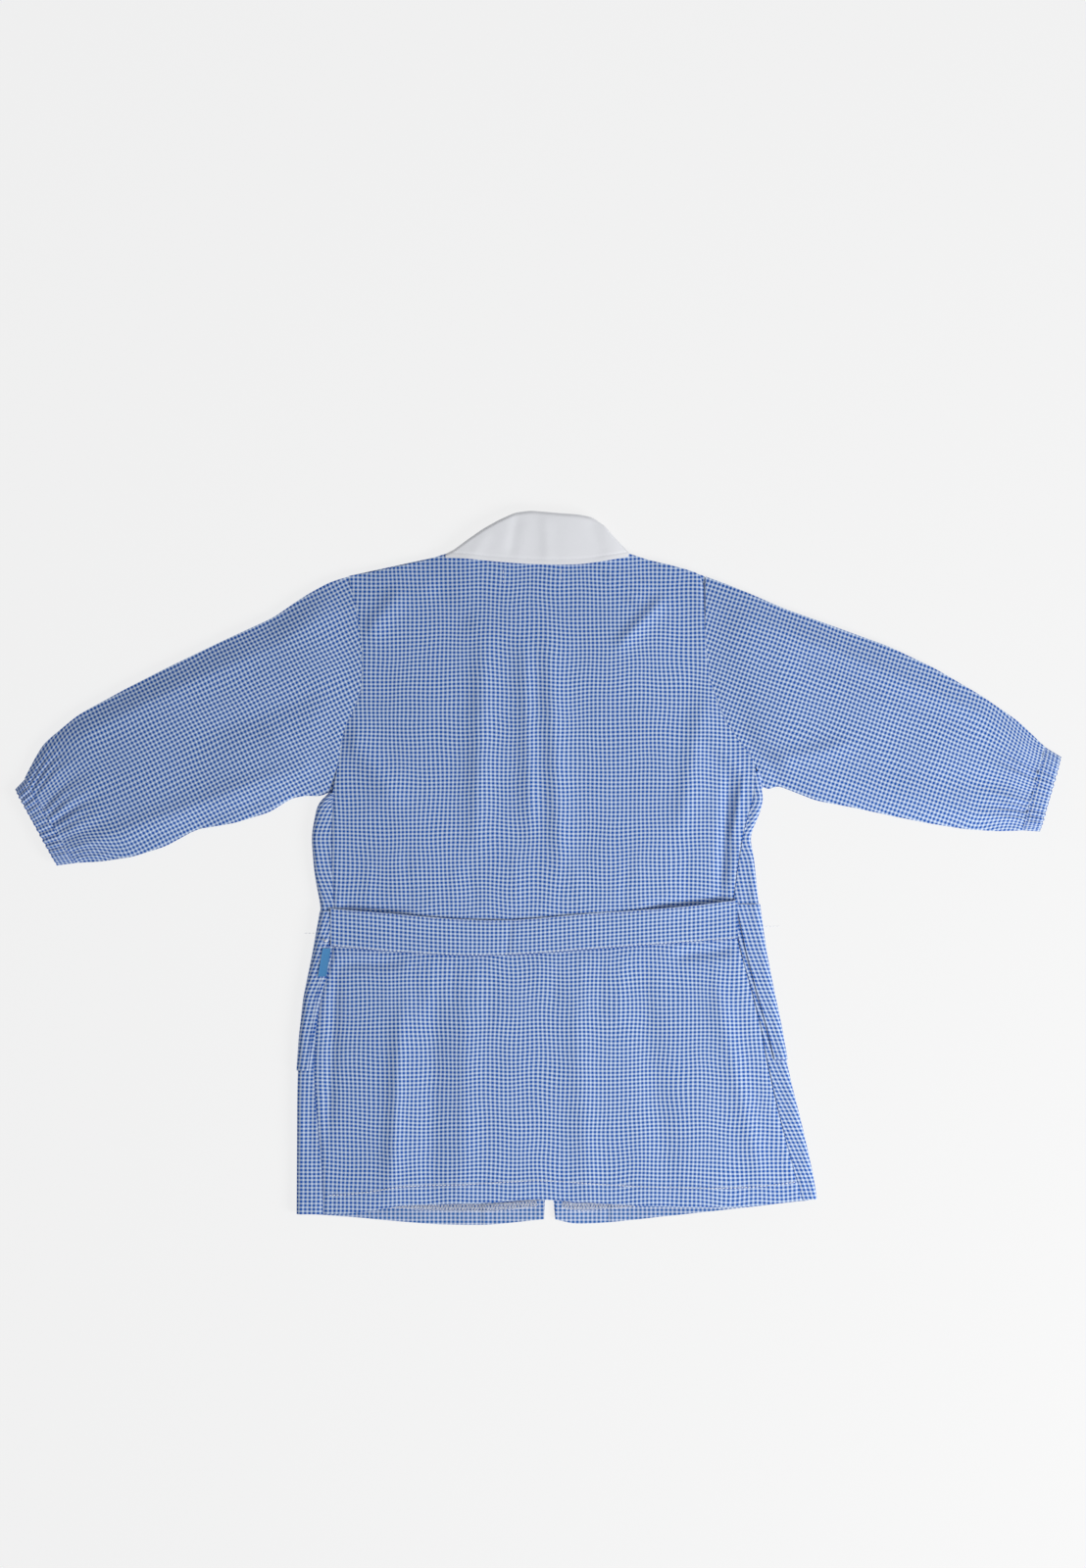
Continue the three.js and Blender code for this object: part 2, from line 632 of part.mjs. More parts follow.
add("back_panel", sheet(backGrid, CLOTH), "gingham");
add("front_left", cut(sheet(grids.left, CLOTH), buttonholes(leftEdgeZ)), "gingham");
add("front_right", sheet(grids.right, CLOTH), "gingham");
add("facing_left", cut(sheet(facingGrid(grids.left), FACING), buttonholes(leftEdgeZ + facingLift)), "gingham");
add("facing_right", sheet(facingGrid(grids.right), FACING), "gingham");
add("back_belt", sheet(beltGrid(), BELT), "gingham");
add("collar_stand", sheet(standGrid(), COLLAR), "white");
add("collar_fall", sheet(fallGrid(), COLLAR), "white");
add("label_tab", sheet(tabGrid(), TAB), "label", 0.6);
for (const [name, sleeve] of Object.entries(sleeves)) {
  add(`sleeve_${name}`, sleeveGeometry(sleeve), "gingham");
  add(`cuff_${name}`, ring(cuffProfile, section, cuffPlace(sleeve)), "gingham");
  add(`elastic_${name}`, ring(elasticProfile, section, cuffPlace(sleeve)), "elastic");
  add(`collar_leaf_${name}`, sheet(leafGrid(sleeve.side, 6 * wide), COLLAR), "white");
  add(`pocket_${name}`, sheet(pocketGrid(grids[name]), POCKET), "gingham");
}
buttonPlaces.forEach((y, k) => {
  add(`button_${k + 1}`, buttonGeometry(), "plastic", 0.35).position.set(buttonX, y, 0);
});

// The origin lies at the middle of the underside.
const extent = new THREE.Box3().setFromObject(smock);
const middle = extent.getCenter(new THREE.Vector3()).setZ(extent.min.z);
smock.children.forEach((mesh) => mesh.position.sub(middle));

export default smock;
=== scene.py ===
# %% [markdown]
# # A small child's school smock, lying flat
# The smock is thin checked cotton with a white collar. It lies on its front, so the camera sees the back,
# the half-belt and the fold of the collar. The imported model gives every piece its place, size and joint.
# Each piece of cloth is laid out again here as a fine grid between the edges of its plain solid.

# %% Load the model
import math
import bpy
import numpy as np
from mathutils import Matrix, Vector
from mathutils.bvhtree import BVHTree


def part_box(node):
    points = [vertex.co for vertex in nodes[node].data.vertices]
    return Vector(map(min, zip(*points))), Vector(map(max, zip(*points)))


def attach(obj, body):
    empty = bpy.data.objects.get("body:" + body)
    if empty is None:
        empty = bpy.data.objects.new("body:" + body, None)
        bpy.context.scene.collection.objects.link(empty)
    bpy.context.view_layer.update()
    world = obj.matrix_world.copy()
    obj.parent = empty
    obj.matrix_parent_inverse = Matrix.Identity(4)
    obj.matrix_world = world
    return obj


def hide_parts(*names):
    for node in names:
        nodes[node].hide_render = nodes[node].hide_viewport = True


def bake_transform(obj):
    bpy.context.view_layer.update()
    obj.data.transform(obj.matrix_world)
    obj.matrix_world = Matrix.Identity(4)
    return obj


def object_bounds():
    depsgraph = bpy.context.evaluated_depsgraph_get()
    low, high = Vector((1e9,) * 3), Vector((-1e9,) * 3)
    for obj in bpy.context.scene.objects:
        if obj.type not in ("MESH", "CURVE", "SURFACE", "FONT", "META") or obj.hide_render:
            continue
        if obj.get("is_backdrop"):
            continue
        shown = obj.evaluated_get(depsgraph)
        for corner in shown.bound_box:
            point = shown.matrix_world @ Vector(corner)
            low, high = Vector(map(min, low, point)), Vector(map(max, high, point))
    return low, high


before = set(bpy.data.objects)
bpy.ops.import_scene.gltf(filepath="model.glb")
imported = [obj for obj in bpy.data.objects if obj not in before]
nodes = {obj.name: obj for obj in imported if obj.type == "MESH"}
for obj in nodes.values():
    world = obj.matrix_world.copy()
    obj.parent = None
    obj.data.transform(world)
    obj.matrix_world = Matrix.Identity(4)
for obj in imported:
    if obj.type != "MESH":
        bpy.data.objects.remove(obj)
cad_low, cad_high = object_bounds()
MM = 0.001
print("model size in mm:", [round(v / MM) for v in cad_high - cad_low])


def link(name, data):
    """A new object in the scene."""
    made = bpy.data.objects.new(name, data)
    bpy.context.scene.collection.objects.link(made)
    return made


# %% [markdown]
# ## Camera, floor and light
# The camera looks straight down from three metres, as over a copy stand, so nothing is foreshortened.
# The floor is a pale board that glows by itself, which keeps it even and shadows under the cloth faint.
# One broad soft light stands low to the right and near side, so the right sleeve is brighter than the
# left one and folds a millimetre or two high still show.

# %% Camera
FRAME_LONG = 1392 * MM  # what the long side of the frame covers on the floor
SENSOR = 36
CAMERA_HEIGHT = 3.0
VIEW_CENTRE = (4.3 * MM, 75.05 * MM)
camera_data = bpy.data.cameras.new("camera")
camera_data.sensor_width = SENSOR
camera_data.lens = SENSOR * CAMERA_HEIGHT / FRAME_LONG
camera = link("camera", camera_data)
camera.location = (*VIEW_CENTRE, CAMERA_HEIGHT + 10 * MM)
bpy.context.scene.camera = camera
bpy.context.scene.view_settings.view_transform = "Standard"
print("lens in mm:", round(camera_data.lens, 1))

# %% Floor and lights
FLOOR_GLOW = 0.80
FLOOR_WHITE = 0.09
FLOOR_HALF = 6
SKY_STRENGTH = 0.4
LAMP_WATTS, LAMP_SIZE, LAMP_PLACE = 36, 0.9, (1.45, -0.75, 1.25)
board = bpy.data.meshes.new("board")
corners = [(sx * FLOOR_HALF, sy * FLOOR_HALF, 0) for sx, sy in ((-1, -1), (1, -1), (1, 1), (-1, 1))]
board.from_pydata(corners, [], [(0, 1, 2, 3)])
floor = link("floor", board)
floor.location.z = -0.6 * MM
floor_look = bpy.data.materials.new("floor_board")
floor_look.use_nodes = True
floor_inputs = floor_look.node_tree.nodes["Principled BSDF"].inputs
floor_inputs["Base Color"].default_value = (FLOOR_WHITE, FLOOR_WHITE, FLOOR_WHITE, 1)
floor_inputs["Roughness"].default_value = 0.9
floor_inputs["Emission Color"].default_value = (1, 1, 1, 1)
floor_inputs["Emission Strength"].default_value = FLOOR_GLOW
board.materials.append(floor_look)
floor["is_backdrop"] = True

world = bpy.data.worlds.new("sky")
bpy.context.scene.world = world
world.use_nodes = True
sky = world.node_tree.nodes["Background"].inputs
sky["Color"].default_value = (0.97, 0.98, 1.0, 1)
sky["Strength"].default_value = SKY_STRENGTH
lamp_data = bpy.data.lights.new("soft_light", "AREA")
lamp_data.energy = LAMP_WATTS
lamp_data.size = LAMP_SIZE
lamp = link("soft_light", lamp_data)
lamp.location = LAMP_PLACE
lamp.rotation_mode = "QUATERNION"
lamp.rotation_quaternion = lamp.location.to_track_quat("Z", "Y")
print("lights ready")

# %% [markdown]
# ## Reading edges and heights
# A flat garment is easiest to rebuild from its edges. `span` cuts a node's solid with a line across the
# floor plan and says where the solid begins and ends there. `height` drops a plumb line onto the solid.
# Both are softened, because cloth has no corners where the plain solid has them.

# %% Reading the solids
def plumb(tree, x, y, under, near_z):
    """Where a plumb line from above, or from below, meets a surface."""
    start, way = (-0.1, 1) if under else (0.2, -1)
    hit = tree.ray_cast(Vector((x, y, start)), Vector((0, 0, way)))[0]
    return (hit or tree.find_nearest(Vector((x, y, near_z)))[0]).z


# %% A solid that can be read
class Solid:
    def __init__(self, *names):
        points, faces, edges = [], [], []
        for name in names:
            mesh = nodes[name].data
            shift = len(points)
            points += [tuple(v.co) for v in mesh.vertices]
            faces += [[shift + k for k in p.vertices] for p in mesh.polygons]
            edges += [[shift + k for k in e.vertices] for e in mesh.edges]
        self.points = np.array(points)
        self.edges = np.array(edges)
        self.tree = BVHTree.FromPolygons(points, faces)

    def span(self, stations, axis):
        """Where the solid begins and ends across each station; axis 1 reads X at stations along Y."""
        other = 1 - axis
        a, b = self.points[self.edges[:, 0]], self.points[self.edges[:, 1]]
        low, high = [], []
        ends = self.points[:, axis].min() + 1e-6, self.points[:, axis].max() - 1e-6
        for s in np.clip(np.atleast_1d(stations), *ends):
            hit = (a[:, axis] - s) * (b[:, axis] - s) <= 0
            t = (s - a[hit, axis]) / np.where(b[hit, axis] == a[hit, axis], 1, b[hit, axis] - a[hit, axis])
            value = a[hit, other] + np.clip(t, 0, 1) * (b[hit, other] - a[hit, other])
            low.append(value.min())
            high.append(value.max())
        return np.array(low), np.array(high)

    def height(self, x, y, under=False):
        """Top of the solid over each point, or its underside."""
        z = [plumb(self.tree, px, py, under, 5 * MM) for px, py in zip(np.ravel(x), np.ravel(y))]
        return np.reshape(z, np.shape(x))


# %% Soft steps
def soften(values, reach, axis=0):
    """A running mean with a bell weight that keeps the ends where they are."""
    if reach < 1:
        return values
    weights = np.exp(-0.5 * (np.arange(-3 * reach, 3 * reach + 1) / reach) ** 2)
    weights /= weights.sum()
    moved = np.moveaxis(np.asarray(values, float), axis, 0)
    n = 3 * reach
    first = 2 * moved[:1] - moved[1 : n + 1][::-1]
    last = 2 * moved[-1:] - moved[-n - 1 : -1][::-1]
    padded = np.concatenate([first, moved, last])
    out = sum(w * padded[k : k + len(moved)] for k, w in enumerate(weights))
    return np.moveaxis(out, 0, axis)


def settle(values, rows, cols):
    """Softens a grid along both of its ways."""
    return soften(soften(values, rows, 0), cols, 1)


def smooth(x, low, high):
    """0 below low, 1 above high, with a soft step between."""
    t = np.clip((x - low) / (high - low), 0, 1)
    return t * t * (3 - 2 * t)


def bell(x, width):
    return np.exp(-((x / width) ** 2))


back_solid = Solid("back_panel")
print("back panel reads", len(back_solid.points), "points")

# %% [markdown]
# ## Laying a sheet of cloth
# Every cloth piece here is a grid of points with a thickness: an upper skin, a lower skin and a thin rim.
# Building it straight from arrays keeps rows and columns in step with the threads, which later places
# the checks, the hems and the stitches.

# %% Filling a plan
def patch(bottom, top, left, right):
    """Fills the plan between four edges; left and right run upwards, bottom and top to the right."""
    u = np.linspace(0, 1, len(bottom))[None, :, None]
    v = np.linspace(0, 1, len(left))[:, None, None]
    return (
        (1 - u) * left[:, None] + u * right[:, None] + (1 - v) * bottom[None] + v * top[None]
        - (1 - v) * ((1 - u) * left[0] + u * right[0]) - v * ((1 - u) * left[-1] + u * right[-1])
    )


def even(points, count):
    """The same line with points at equal steps."""
    run = np.r_[0, np.cumsum(np.linalg.norm(np.diff(points, axis=0), axis=1))]
    at = np.linspace(0, run[-1], count)
    return np.stack([np.interp(at, run, points[:, k]) for k in range(points.shape[1])], 1)


# %% Faces and normals of a grid
def face_ids(rows, cols, closed):
    wide = cols if closed else cols - 1
    j, i = np.meshgrid(np.arange(rows - 1), np.arange(wide), indexing="ij")
    j, i = j.ravel(), i.ravel()
    k = (i + 1) % cols
    return np.stack([j * cols + i, j * cols + k, (j + 1) * cols + k, (j + 1) * cols + i], 1), j, i


def grid_normals(points, closed):
    if closed:
        du = np.roll(points, -1, 1) - np.roll(points, 1, 1)
    else:
        du = np.gradient(points, axis=1)
    dv = np.gradient(points, axis=0)
    n = np.cross(du, dv)
    return n / np.maximum(np.linalg.norm(n, axis=2, keepdims=True), 1e-12)


# %% Cloth from a grid
def cloth(name, points, chart, thick, look, closed=False):
    """A closed thin mesh on a grid; chart gives each point's place on the uncut cloth in metres."""
    rows, cols = points.shape[:2]
    normal = grid_normals(points, closed)
    skin = np.concatenate([points + normal * thick / 2, points - normal * thick / 2]).reshape(-1, 3)
    quads, j, i = face_ids(rows, cols, closed)
    half = rows * cols
    wide = cols if closed else cols - 1
    rims = []
    line = np.arange(wide)
    nxt = (line + 1) % cols
    for a, b in ((line, nxt), ((rows - 1) * cols + nxt, (rows - 1) * cols + line)):
        rims.append(np.stack([b, a, a + half, b + half], 1))
    if not closed:
        side = np.arange(rows - 1) * cols
        for a, b in ((side + cols, side), (side + cols - 1, side + 2 * cols - 1)):
            rims.append(np.stack([b, a, a + half, b + half], 1))
    rims = np.concatenate(rims)
    faces = np.concatenate([quads, quads[:, ::-1] + half, rims])
    flat = chart[:, :cols].reshape(-1, 2)
    corner = np.stack([chart[j, i], chart[j, i + 1], chart[j + 1, i + 1], chart[j + 1, i]], 1)
    uv = np.concatenate([corner, corner[:, ::-1], flat[rims % half]]).reshape(-1, 2)
    mesh = bpy.data.meshes.new(name)
    mesh.from_pydata(skin.tolist(), [], faces.tolist())
    mesh.uv_layers.new(name="thread").data.foreach_set("uv", uv.astype(np.float32).ravel())
    mesh.polygons.foreach_set("use_smooth", np.ones(len(faces), bool))
    mesh.set_sharp_from_angle(angle=math.radians(65))
    mesh.materials.append(look)
    print(name, "grid", rows, "x", cols)
    return link(name, mesh)


# %% Hiding a node and joining a body
def keep(piece, body="garment", node=None):
    """Hides the node that a piece stands for and parents the piece to the body it moves with."""
    if node:
        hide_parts(node)
    if body:
        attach(piece, body)
    return piece


# %% [markdown]
# ## Folds
# Cotton that has been pressed and laid out keeps broad soft folds a millimetre or two high. A fold is
# drawn as a stroke on the floor plan: it has two ends, a width and a height, and it fades at its ends.
# A negative height makes a crease. Slow waves of noise keep the rest from lying dead flat.

# %% Folds and slow waves
def fold(x, y, start, end, width, height, lean=0.0):
    """One soft fold along a stroke; lean makes one flank steeper than the other."""
    (x0, y0), (x1, y1) = np.array(start) * MM, np.array(end) * MM
    dx, dy = x1 - x0, y1 - y0
    length = math.hypot(dx, dy)
    along = ((x - x0) * dx + (y - y0) * dy) / length**2
    away = ((x - x0) * dy - (y - y0) * dx) / length / (width * MM)
    body = np.exp(-(away**2)) * (1 + lean * np.tanh(2 * away))
    return height * MM * body * smooth(along, -0.12, 0.25) * (1 - smooth(along, 0.75, 1.12))


def waves(x, y, long_x, long_y, seed, count=7):
    """Slow waves with the given lengths in millimetres; their highest is about 1."""
    rng = np.random.default_rng(seed)
    total = np.zeros(np.shape(x))
    for _ in range(count):
        ax, ay = rng.uniform(0.6, 1.6, 2)
        px, py = rng.uniform(0, 2 * math.pi, 2)
        total += np.sin(2 * math.pi * x / (long_x * MM) * ax + px + np.sin(
            2 * math.pi * y / (long_y * MM) * ay + py))
    return total / count * 1.6


# %% [markdown]
# ## The checked cloth
# Gingham is woven from stripes of blue and white thread both ways. Where two blue stripes cross the
# square is dark, where blue meets white it is half blue, and where white meets white it is pale. The
# group adds up both stripes, so it makes all three tones by itself. A second group gives the fine
# over-and-under of the threads, and a third the slow unevenness that washing and pressing leave.

# %% Node group tools
def feed(tree, node, inputs):
    """Sets each named input of a node to a constant, or links a socket to it."""
    for key, value in inputs.items():
        if isinstance(value, bpy.types.NodeSocket):
            tree.links.new(value, node.inputs[key])
        else:
            node.inputs[key].default_value = value
    return node


def add_node(tree, kind, inputs, **settings):
    node = tree.nodes.new("ShaderNode" + kind)
    for key, value in settings.items():
        setattr(node, key, value)
    return feed(tree, node, inputs)


def group(name, inputs, outputs):
    tree = bpy.data.node_groups.new(name, "ShaderNodeTree")
    for label, kind, value in inputs:
        made = tree.interface.new_socket(label, in_out="INPUT", socket_type="NodeSocket" + kind)
        if value is not None:
            made.default_value = value
    for label, kind in outputs:
        tree.interface.new_socket(label, in_out="OUTPUT", socket_type="NodeSocket" + kind)
    return tree, tree.nodes.new("NodeGroupInput").outputs, tree.nodes.new("NodeGroupOutput")


def math_node(tree, kind, *values):
    return add_node(tree, "Math", dict(enumerate(values)), operation=kind).outputs[0]


def mix_colour(tree, factor, a, b, blend="MIX"):
    return add_node(tree, "Mix", {0: factor, 6: a, 7: b}, data_type="RGBA", blend_type=blend).outputs[2]


def noise_node(tree, vector, scale, detail=2.0, rough=0.5):
    made = {"Vector": vector, "Scale": scale, "Detail": detail, "Roughness": rough}
    return add_node(tree, "TexNoise", made).outputs["Fac"]


def linear(r, g, b):
    """A colour named by its 0 to 255 screen values."""
    return tuple(((v / 255 + 0.055) / 1.055) ** 2.4 if v > 10 else v / 3295 for v in (r, g, b)) + (1,)


# %% Group: the checks
REPEAT_ACROSS = 3.81 * MM
REPEAT_ALONG = 3.5 * MM
STRIPE_EDGE = 0.222  # where a stripe turns blue, as a share of one repeat


def build_checks():
    tree, given, out = group(
        "woven_checks",
        [("Thread", "Vector", None), ("Repeat Across", "Float", REPEAT_ACROSS),
         ("Repeat Along", "Float", REPEAT_ALONG), ("Edge", "Float", 0.16),
         ("White", "Color", None), ("Blue", "Color", None)],
        [("Color", "Color"), ("Blue Share", "Float")],
    )
    split = add_node(tree, "SeparateXYZ", {0: given["Thread"]})
    stripes = []
    for axis, repeat in (("X", "Repeat Across"), ("Y", "Repeat Along")):
        turns = math_node(tree, "DIVIDE", split.outputs[axis], given[repeat])
        swing = math_node(tree, "PINGPONG", turns, 0.5)
        low, high = (math_node(tree, "MULTIPLY_ADD", given["Edge"], way, STRIPE_EDGE) for way in (-0.5, 0.5))
        ramp = add_node(tree, "MapRange", {"Value": swing, "From Min": low, "From Max": high},
                        interpolation_type="SMOOTHSTEP")
        stripes.append(ramp.outputs["Result"])
    share = math_node(tree, "MULTIPLY", math_node(tree, "ADD", *stripes), 0.5)
    feed(tree, out, {"Color": mix_colour(tree, share, given["White"], given["Blue"]), "Blue Share": share})
    return tree


checks_group = build_checks()


# %% Group: the threads
def build_threads():
    tree, given, out = group(
        "plain_weave",
        [("Thread", "Vector", None), ("Pitch", "Float", 0.3 * MM), ("Unevenness", "Float", 0.5)],
        [("Height", "Float"), ("Gap", "Float")],
    )
    split = add_node(tree, "SeparateXYZ", {0: given["Thread"]})
    bumps = []
    for axis in "XY":
        turns = math_node(tree, "DIVIDE", split.outputs[axis], given["Pitch"])
        bumps.append(math_node(tree, "SINE", math_node(tree, "MULTIPLY", turns, math.pi)))
    over = math_node(tree, "ABSOLUTE", math_node(tree, "MULTIPLY", *bumps))
    stretch = add_node(tree, "VectorMath", {0: given["Thread"], 1: (900, 120, 1)}, operation="MULTIPLY")
    slub = math_node(tree, "SUBTRACT", noise_node(tree, stretch.outputs[0], 1.0), 0.5)
    feed(tree, out, {"Height": math_node(tree, "MULTIPLY_ADD", slub, given["Unevenness"], over),
                     "Gap": math_node(tree, "SUBTRACT", 1.0, over)})
    return tree


threads_group = build_threads()


# %% Group: washed and pressed
def build_washed():
    tree, given, out = group(
        "washed_cotton",
        [("Place", "Vector", None), ("Color", "Color", None), ("Amount", "Float", 0.06)],
        [("Color", "Color"), ("Rumple", "Float")],
    )
    slow = noise_node(tree, given["Place"], 14, 2.0)
    fine = noise_node(tree, given["Place"], 160, 3.0, 0.6)
    both = math_node(tree, "ADD", slow, math_node(tree, "MULTIPLY", fine, 0.5))
    value = math_node(tree, "MULTIPLY_ADD", math_node(tree, "SUBTRACT", both, 0.75), given["Amount"], 1.0)
    grey = add_node(tree, "CombineColor", {k: value for k in range(3)})
    feed(tree, out, {"Color": mix_colour(tree, 1.0, given["Color"], grey.outputs[0], "MULTIPLY"),
                     "Rumple": noise_node(tree, given["Place"], 55, 3.0, 0.55)})
    return tree


washed_group = build_washed()
print("node groups:", [g.name for g in bpy.data.node_groups])


# %% [markdown]
# ## The finishes
# All cloth is the same recipe with its own colours: the pattern or a plain dye goes through the washed
# group, the thread heights and a slow rumple feed one bump, and the shader stays almost fully rough with
# a little sheen from the cotton's fuzz.

# %% Cloth materials
THREAD_SHADE = 0.16  # painted shade in the gaps between the threads: how dark it makes them


def new_look(name):
    look = bpy.data.materials.new(name)
    look.use_nodes = True
    tree = look.node_tree
    place = tree.nodes.new("ShaderNodeTexCoord").outputs["Object"]
    return look, tree, tree.nodes["Principled BSDF"], place


def cotton(name, white, blue=None, shift=(0, 0), washed=0.07, thread=0.3, bump=0.18, rumple=0.35, sheen=0.05):
    look, tree, shader, place = new_look(name)
    chart = add_node(tree, "UVMap", {}, uv_map="thread").outputs[0]
    if blue:
        moved = add_node(tree, "VectorMath", {0: chart, 1: (shift[0] * MM, shift[1] * MM, 0)})
        made = {"Thread": moved.outputs[0], "White": white, "Blue": blue,
                "Repeat Across": REPEAT_ACROSS, "Repeat Along": REPEAT_ALONG}
        dyed = add_node(tree, "Group", made, node_tree=checks_group).outputs["Color"]
    else:
        plain = tree.nodes.new("ShaderNodeRGB")
        plain.outputs[0].default_value = white
        dyed = plain.outputs[0]
    wash = add_node(tree, "Group", {"Amount": washed, "Place": place, "Color": dyed},
                    node_tree=washed_group).outputs
    weave = add_node(tree, "Group", {"Pitch": thread * MM, "Thread": chart}, node_tree=threads_group).outputs
    # painted shade: the base colour is mixed towards this dark colour in the gaps between the threads
    gap_shade_colour = (0.05, 0.08, 0.2, 1) if blue else (0.35, 0.36, 0.38, 1)
    shade = math_node(tree, "MULTIPLY", weave["Gap"], THREAD_SHADE)
    near = add_node(tree, "Bump", {"Strength": bump, "Distance": 0.12 * MM, "Height": weave["Height"]})
    far = add_node(tree, "Bump", {"Strength": rumple, "Distance": 0.9 * MM, "Height": wash["Rumple"],
                                  "Normal": near.outputs[0]})
    feed(tree, shader, {"Base Color": mix_colour(tree, shade, wash["Color"], gap_shade_colour), "Roughness": 0.88,
                        "Specular IOR Level": 0.15, "Sheen Weight": sheen, "Sheen Roughness": 0.5,
                        "Normal": far.outputs[0]})
    return look


GINGHAM_WHITE = linear(218, 234, 253)
GINGHAM_BLUE = linear(0, 84, 176)
gingham = cotton("gingham_body", GINGHAM_WHITE, GINGHAM_BLUE)
gingham_sleeve = cotton("gingham_sleeve", GINGHAM_WHITE, GINGHAM_BLUE)
gingham_belt = cotton("gingham_belt", GINGHAM_WHITE, GINGHAM_BLUE, shift=(1.2, 0.7))
gingham_inside = cotton("gingham_facing", linear(222, 232, 248), linear(30, 100, 180), shift=(0.4, 1.9))
collar_white = cotton("collar_cotton", linear(243, 244, 248), thread=0.22, bump=0.12, rumple=0.2, washed=0.03)
tab_blue = cotton("tab_weave", linear(62, 140, 200), thread=0.45, bump=0.35, rumple=0.1, sheen=0.4)
elastic_white = cotton("elastic_cotton", linear(222, 222, 218), thread=0.8, bump=0.6)
thread_white = cotton("sewing_thread", linear(236, 238, 243), thread=0.5, bump=0.3, washed=0.02)
print("cloth finishes:", len(bpy.data.materials))

# %% Hard finishes
def plastic(name, colour, rough=0.32):
    look, tree, shader, place = new_look(name)
    cloud = noise_node(tree, place, 220, 2.0)
    darker = tuple(0.88 * c for c in colour[:3]) + (1,)
    scuffs = math_node(tree, "MULTIPLY_ADD", noise_node(tree, place, 900, 3.0), 0.25, rough - 0.1)
    grain = noise_node(tree, place, 1500, 2.0)
    bump = add_node(tree, "Bump", {"Strength": 0.1, "Distance": 0.1 * MM, "Height": grain})
    feed(tree, shader, {"Base Color": mix_colour(tree, cloud, colour, darker), "Roughness": scuffs,
                        "Coat Weight": 0.2, "Coat Roughness": 0.15, "Normal": bump.outputs[0]})
    return look


button_white = plastic("button_plastic", linear(232, 233, 236))
print("finishes:", len(bpy.data.materials))

# %% [markdown]
# ## The back
# The back is one wide cut: a turned hem below, two side seams that slant outwards, two armholes and a
# neckline that the collar hides. On the bench it would be cut flat and stitched to the fronts. Here its
# four edges are read from the solid, the inside is filled between them, and the height is the solid's
# own top with the hem, the seams, the tuck under the belt and the pressed folds added to it.

# %% Back edges
EDGE_IN = 0.3 * MM


def reach(span_of, stations, axis, which):
    return span_of.span(stations, axis)[which]


def corner(solid, kx, ky):
    """The plan point of a solid that lies furthest towards one corner."""
    p = solid.points[:, :2]
    return p[np.argmax(kx * p[:, 0] + ky * p[:, 1])]


# %% Back corners
back_low_left, back_low_right = corner(back_solid, -1, -1.6), corner(back_solid, 1, -1.6)
shoulder_y = float(back_solid.points[back_solid.points[:, 0] < -0.165][:, 1].max())
top_left = np.array([-0.1685, shoulder_y])
top_right = np.array([0.1498, float(back_solid.points[back_solid.points[:, 0] > 0.146][:, 1].max())])
print("back corners mm:", *(np.round(c / MM, 1) for c in (back_low_left, back_low_right, top_left, top_right)))


def side_lines(solid, low_left, low_right, high_left, high_right, rows):
    """The left and right edges of a piece between its bottom and top corners."""
    lines = []
    for low, high, which, inward in ((low_left, high_left, 0, 1), (low_right, high_right, 1, -1)):
        y = np.linspace(low[1], high[1], rows)
        x = soften(reach(solid, y, 1, which), 2) + inward * EDGE_IN
        x[0], x[-1] = low[0] + inward * EDGE_IN, high[0]
        lines.append(np.stack([x, y], 1))
    return lines


def cross_line(solid, left, right, which, cols):
    x = np.linspace(left[0], right[0], cols)
    y = soften(reach(solid, x, 0, which), 2)
    y[0], y[-1] = left[1], right[1]
    return np.stack([x, y], 1)


back_left, back_right = side_lines(back_solid, back_low_left, back_low_right, top_left, top_right, 236)
back_hem = cross_line(back_solid, back_left[0], back_right[0], 0, 188)
back_top = cross_line(back_solid, top_left, top_right, 1, 188)
back_plan = patch(back_hem, back_top, back_left, back_right)
bx, by = back_plan[..., 0], back_plan[..., 1]
print("back grid", back_plan.shape)

# %% Back height
HEM = 17.5 * MM
CLOTH = 0.5 * MM


def ripple(along, step, seed):
    """Uneven small waves along a seam, as the thread pulls them."""
    s = along / (step * MM)
    return np.sin(2 * math.pi * s + 1.7 * np.sin(s * 0.9 + seed)) * (0.65 + 0.35 * np.sin(s * 0.47 + 2 * seed))


def turned_hem(depth, along, height=0.5, hem=HEM, seed=0.0):
    """A hem turned up and stitched: a raised band, a groove at the thread and small puckers."""
    band = height * (1 - smooth(depth, hem - 0.3 * MM, hem + 1.0 * MM))
    groove = -0.3 * bell(depth - hem + 0.6 * MM, 1.1 * MM)
    pulled = 0.2 * ripple(along, 7.5, seed) * bell(depth - hem, 8 * MM)
    return (band + groove + pulled) * MM


# %% The folds of the back
UPPER_FOLDS, LOWER_FOLDS = 3.0, 2.1  # how far the strokes below are raised, above and below the armholes


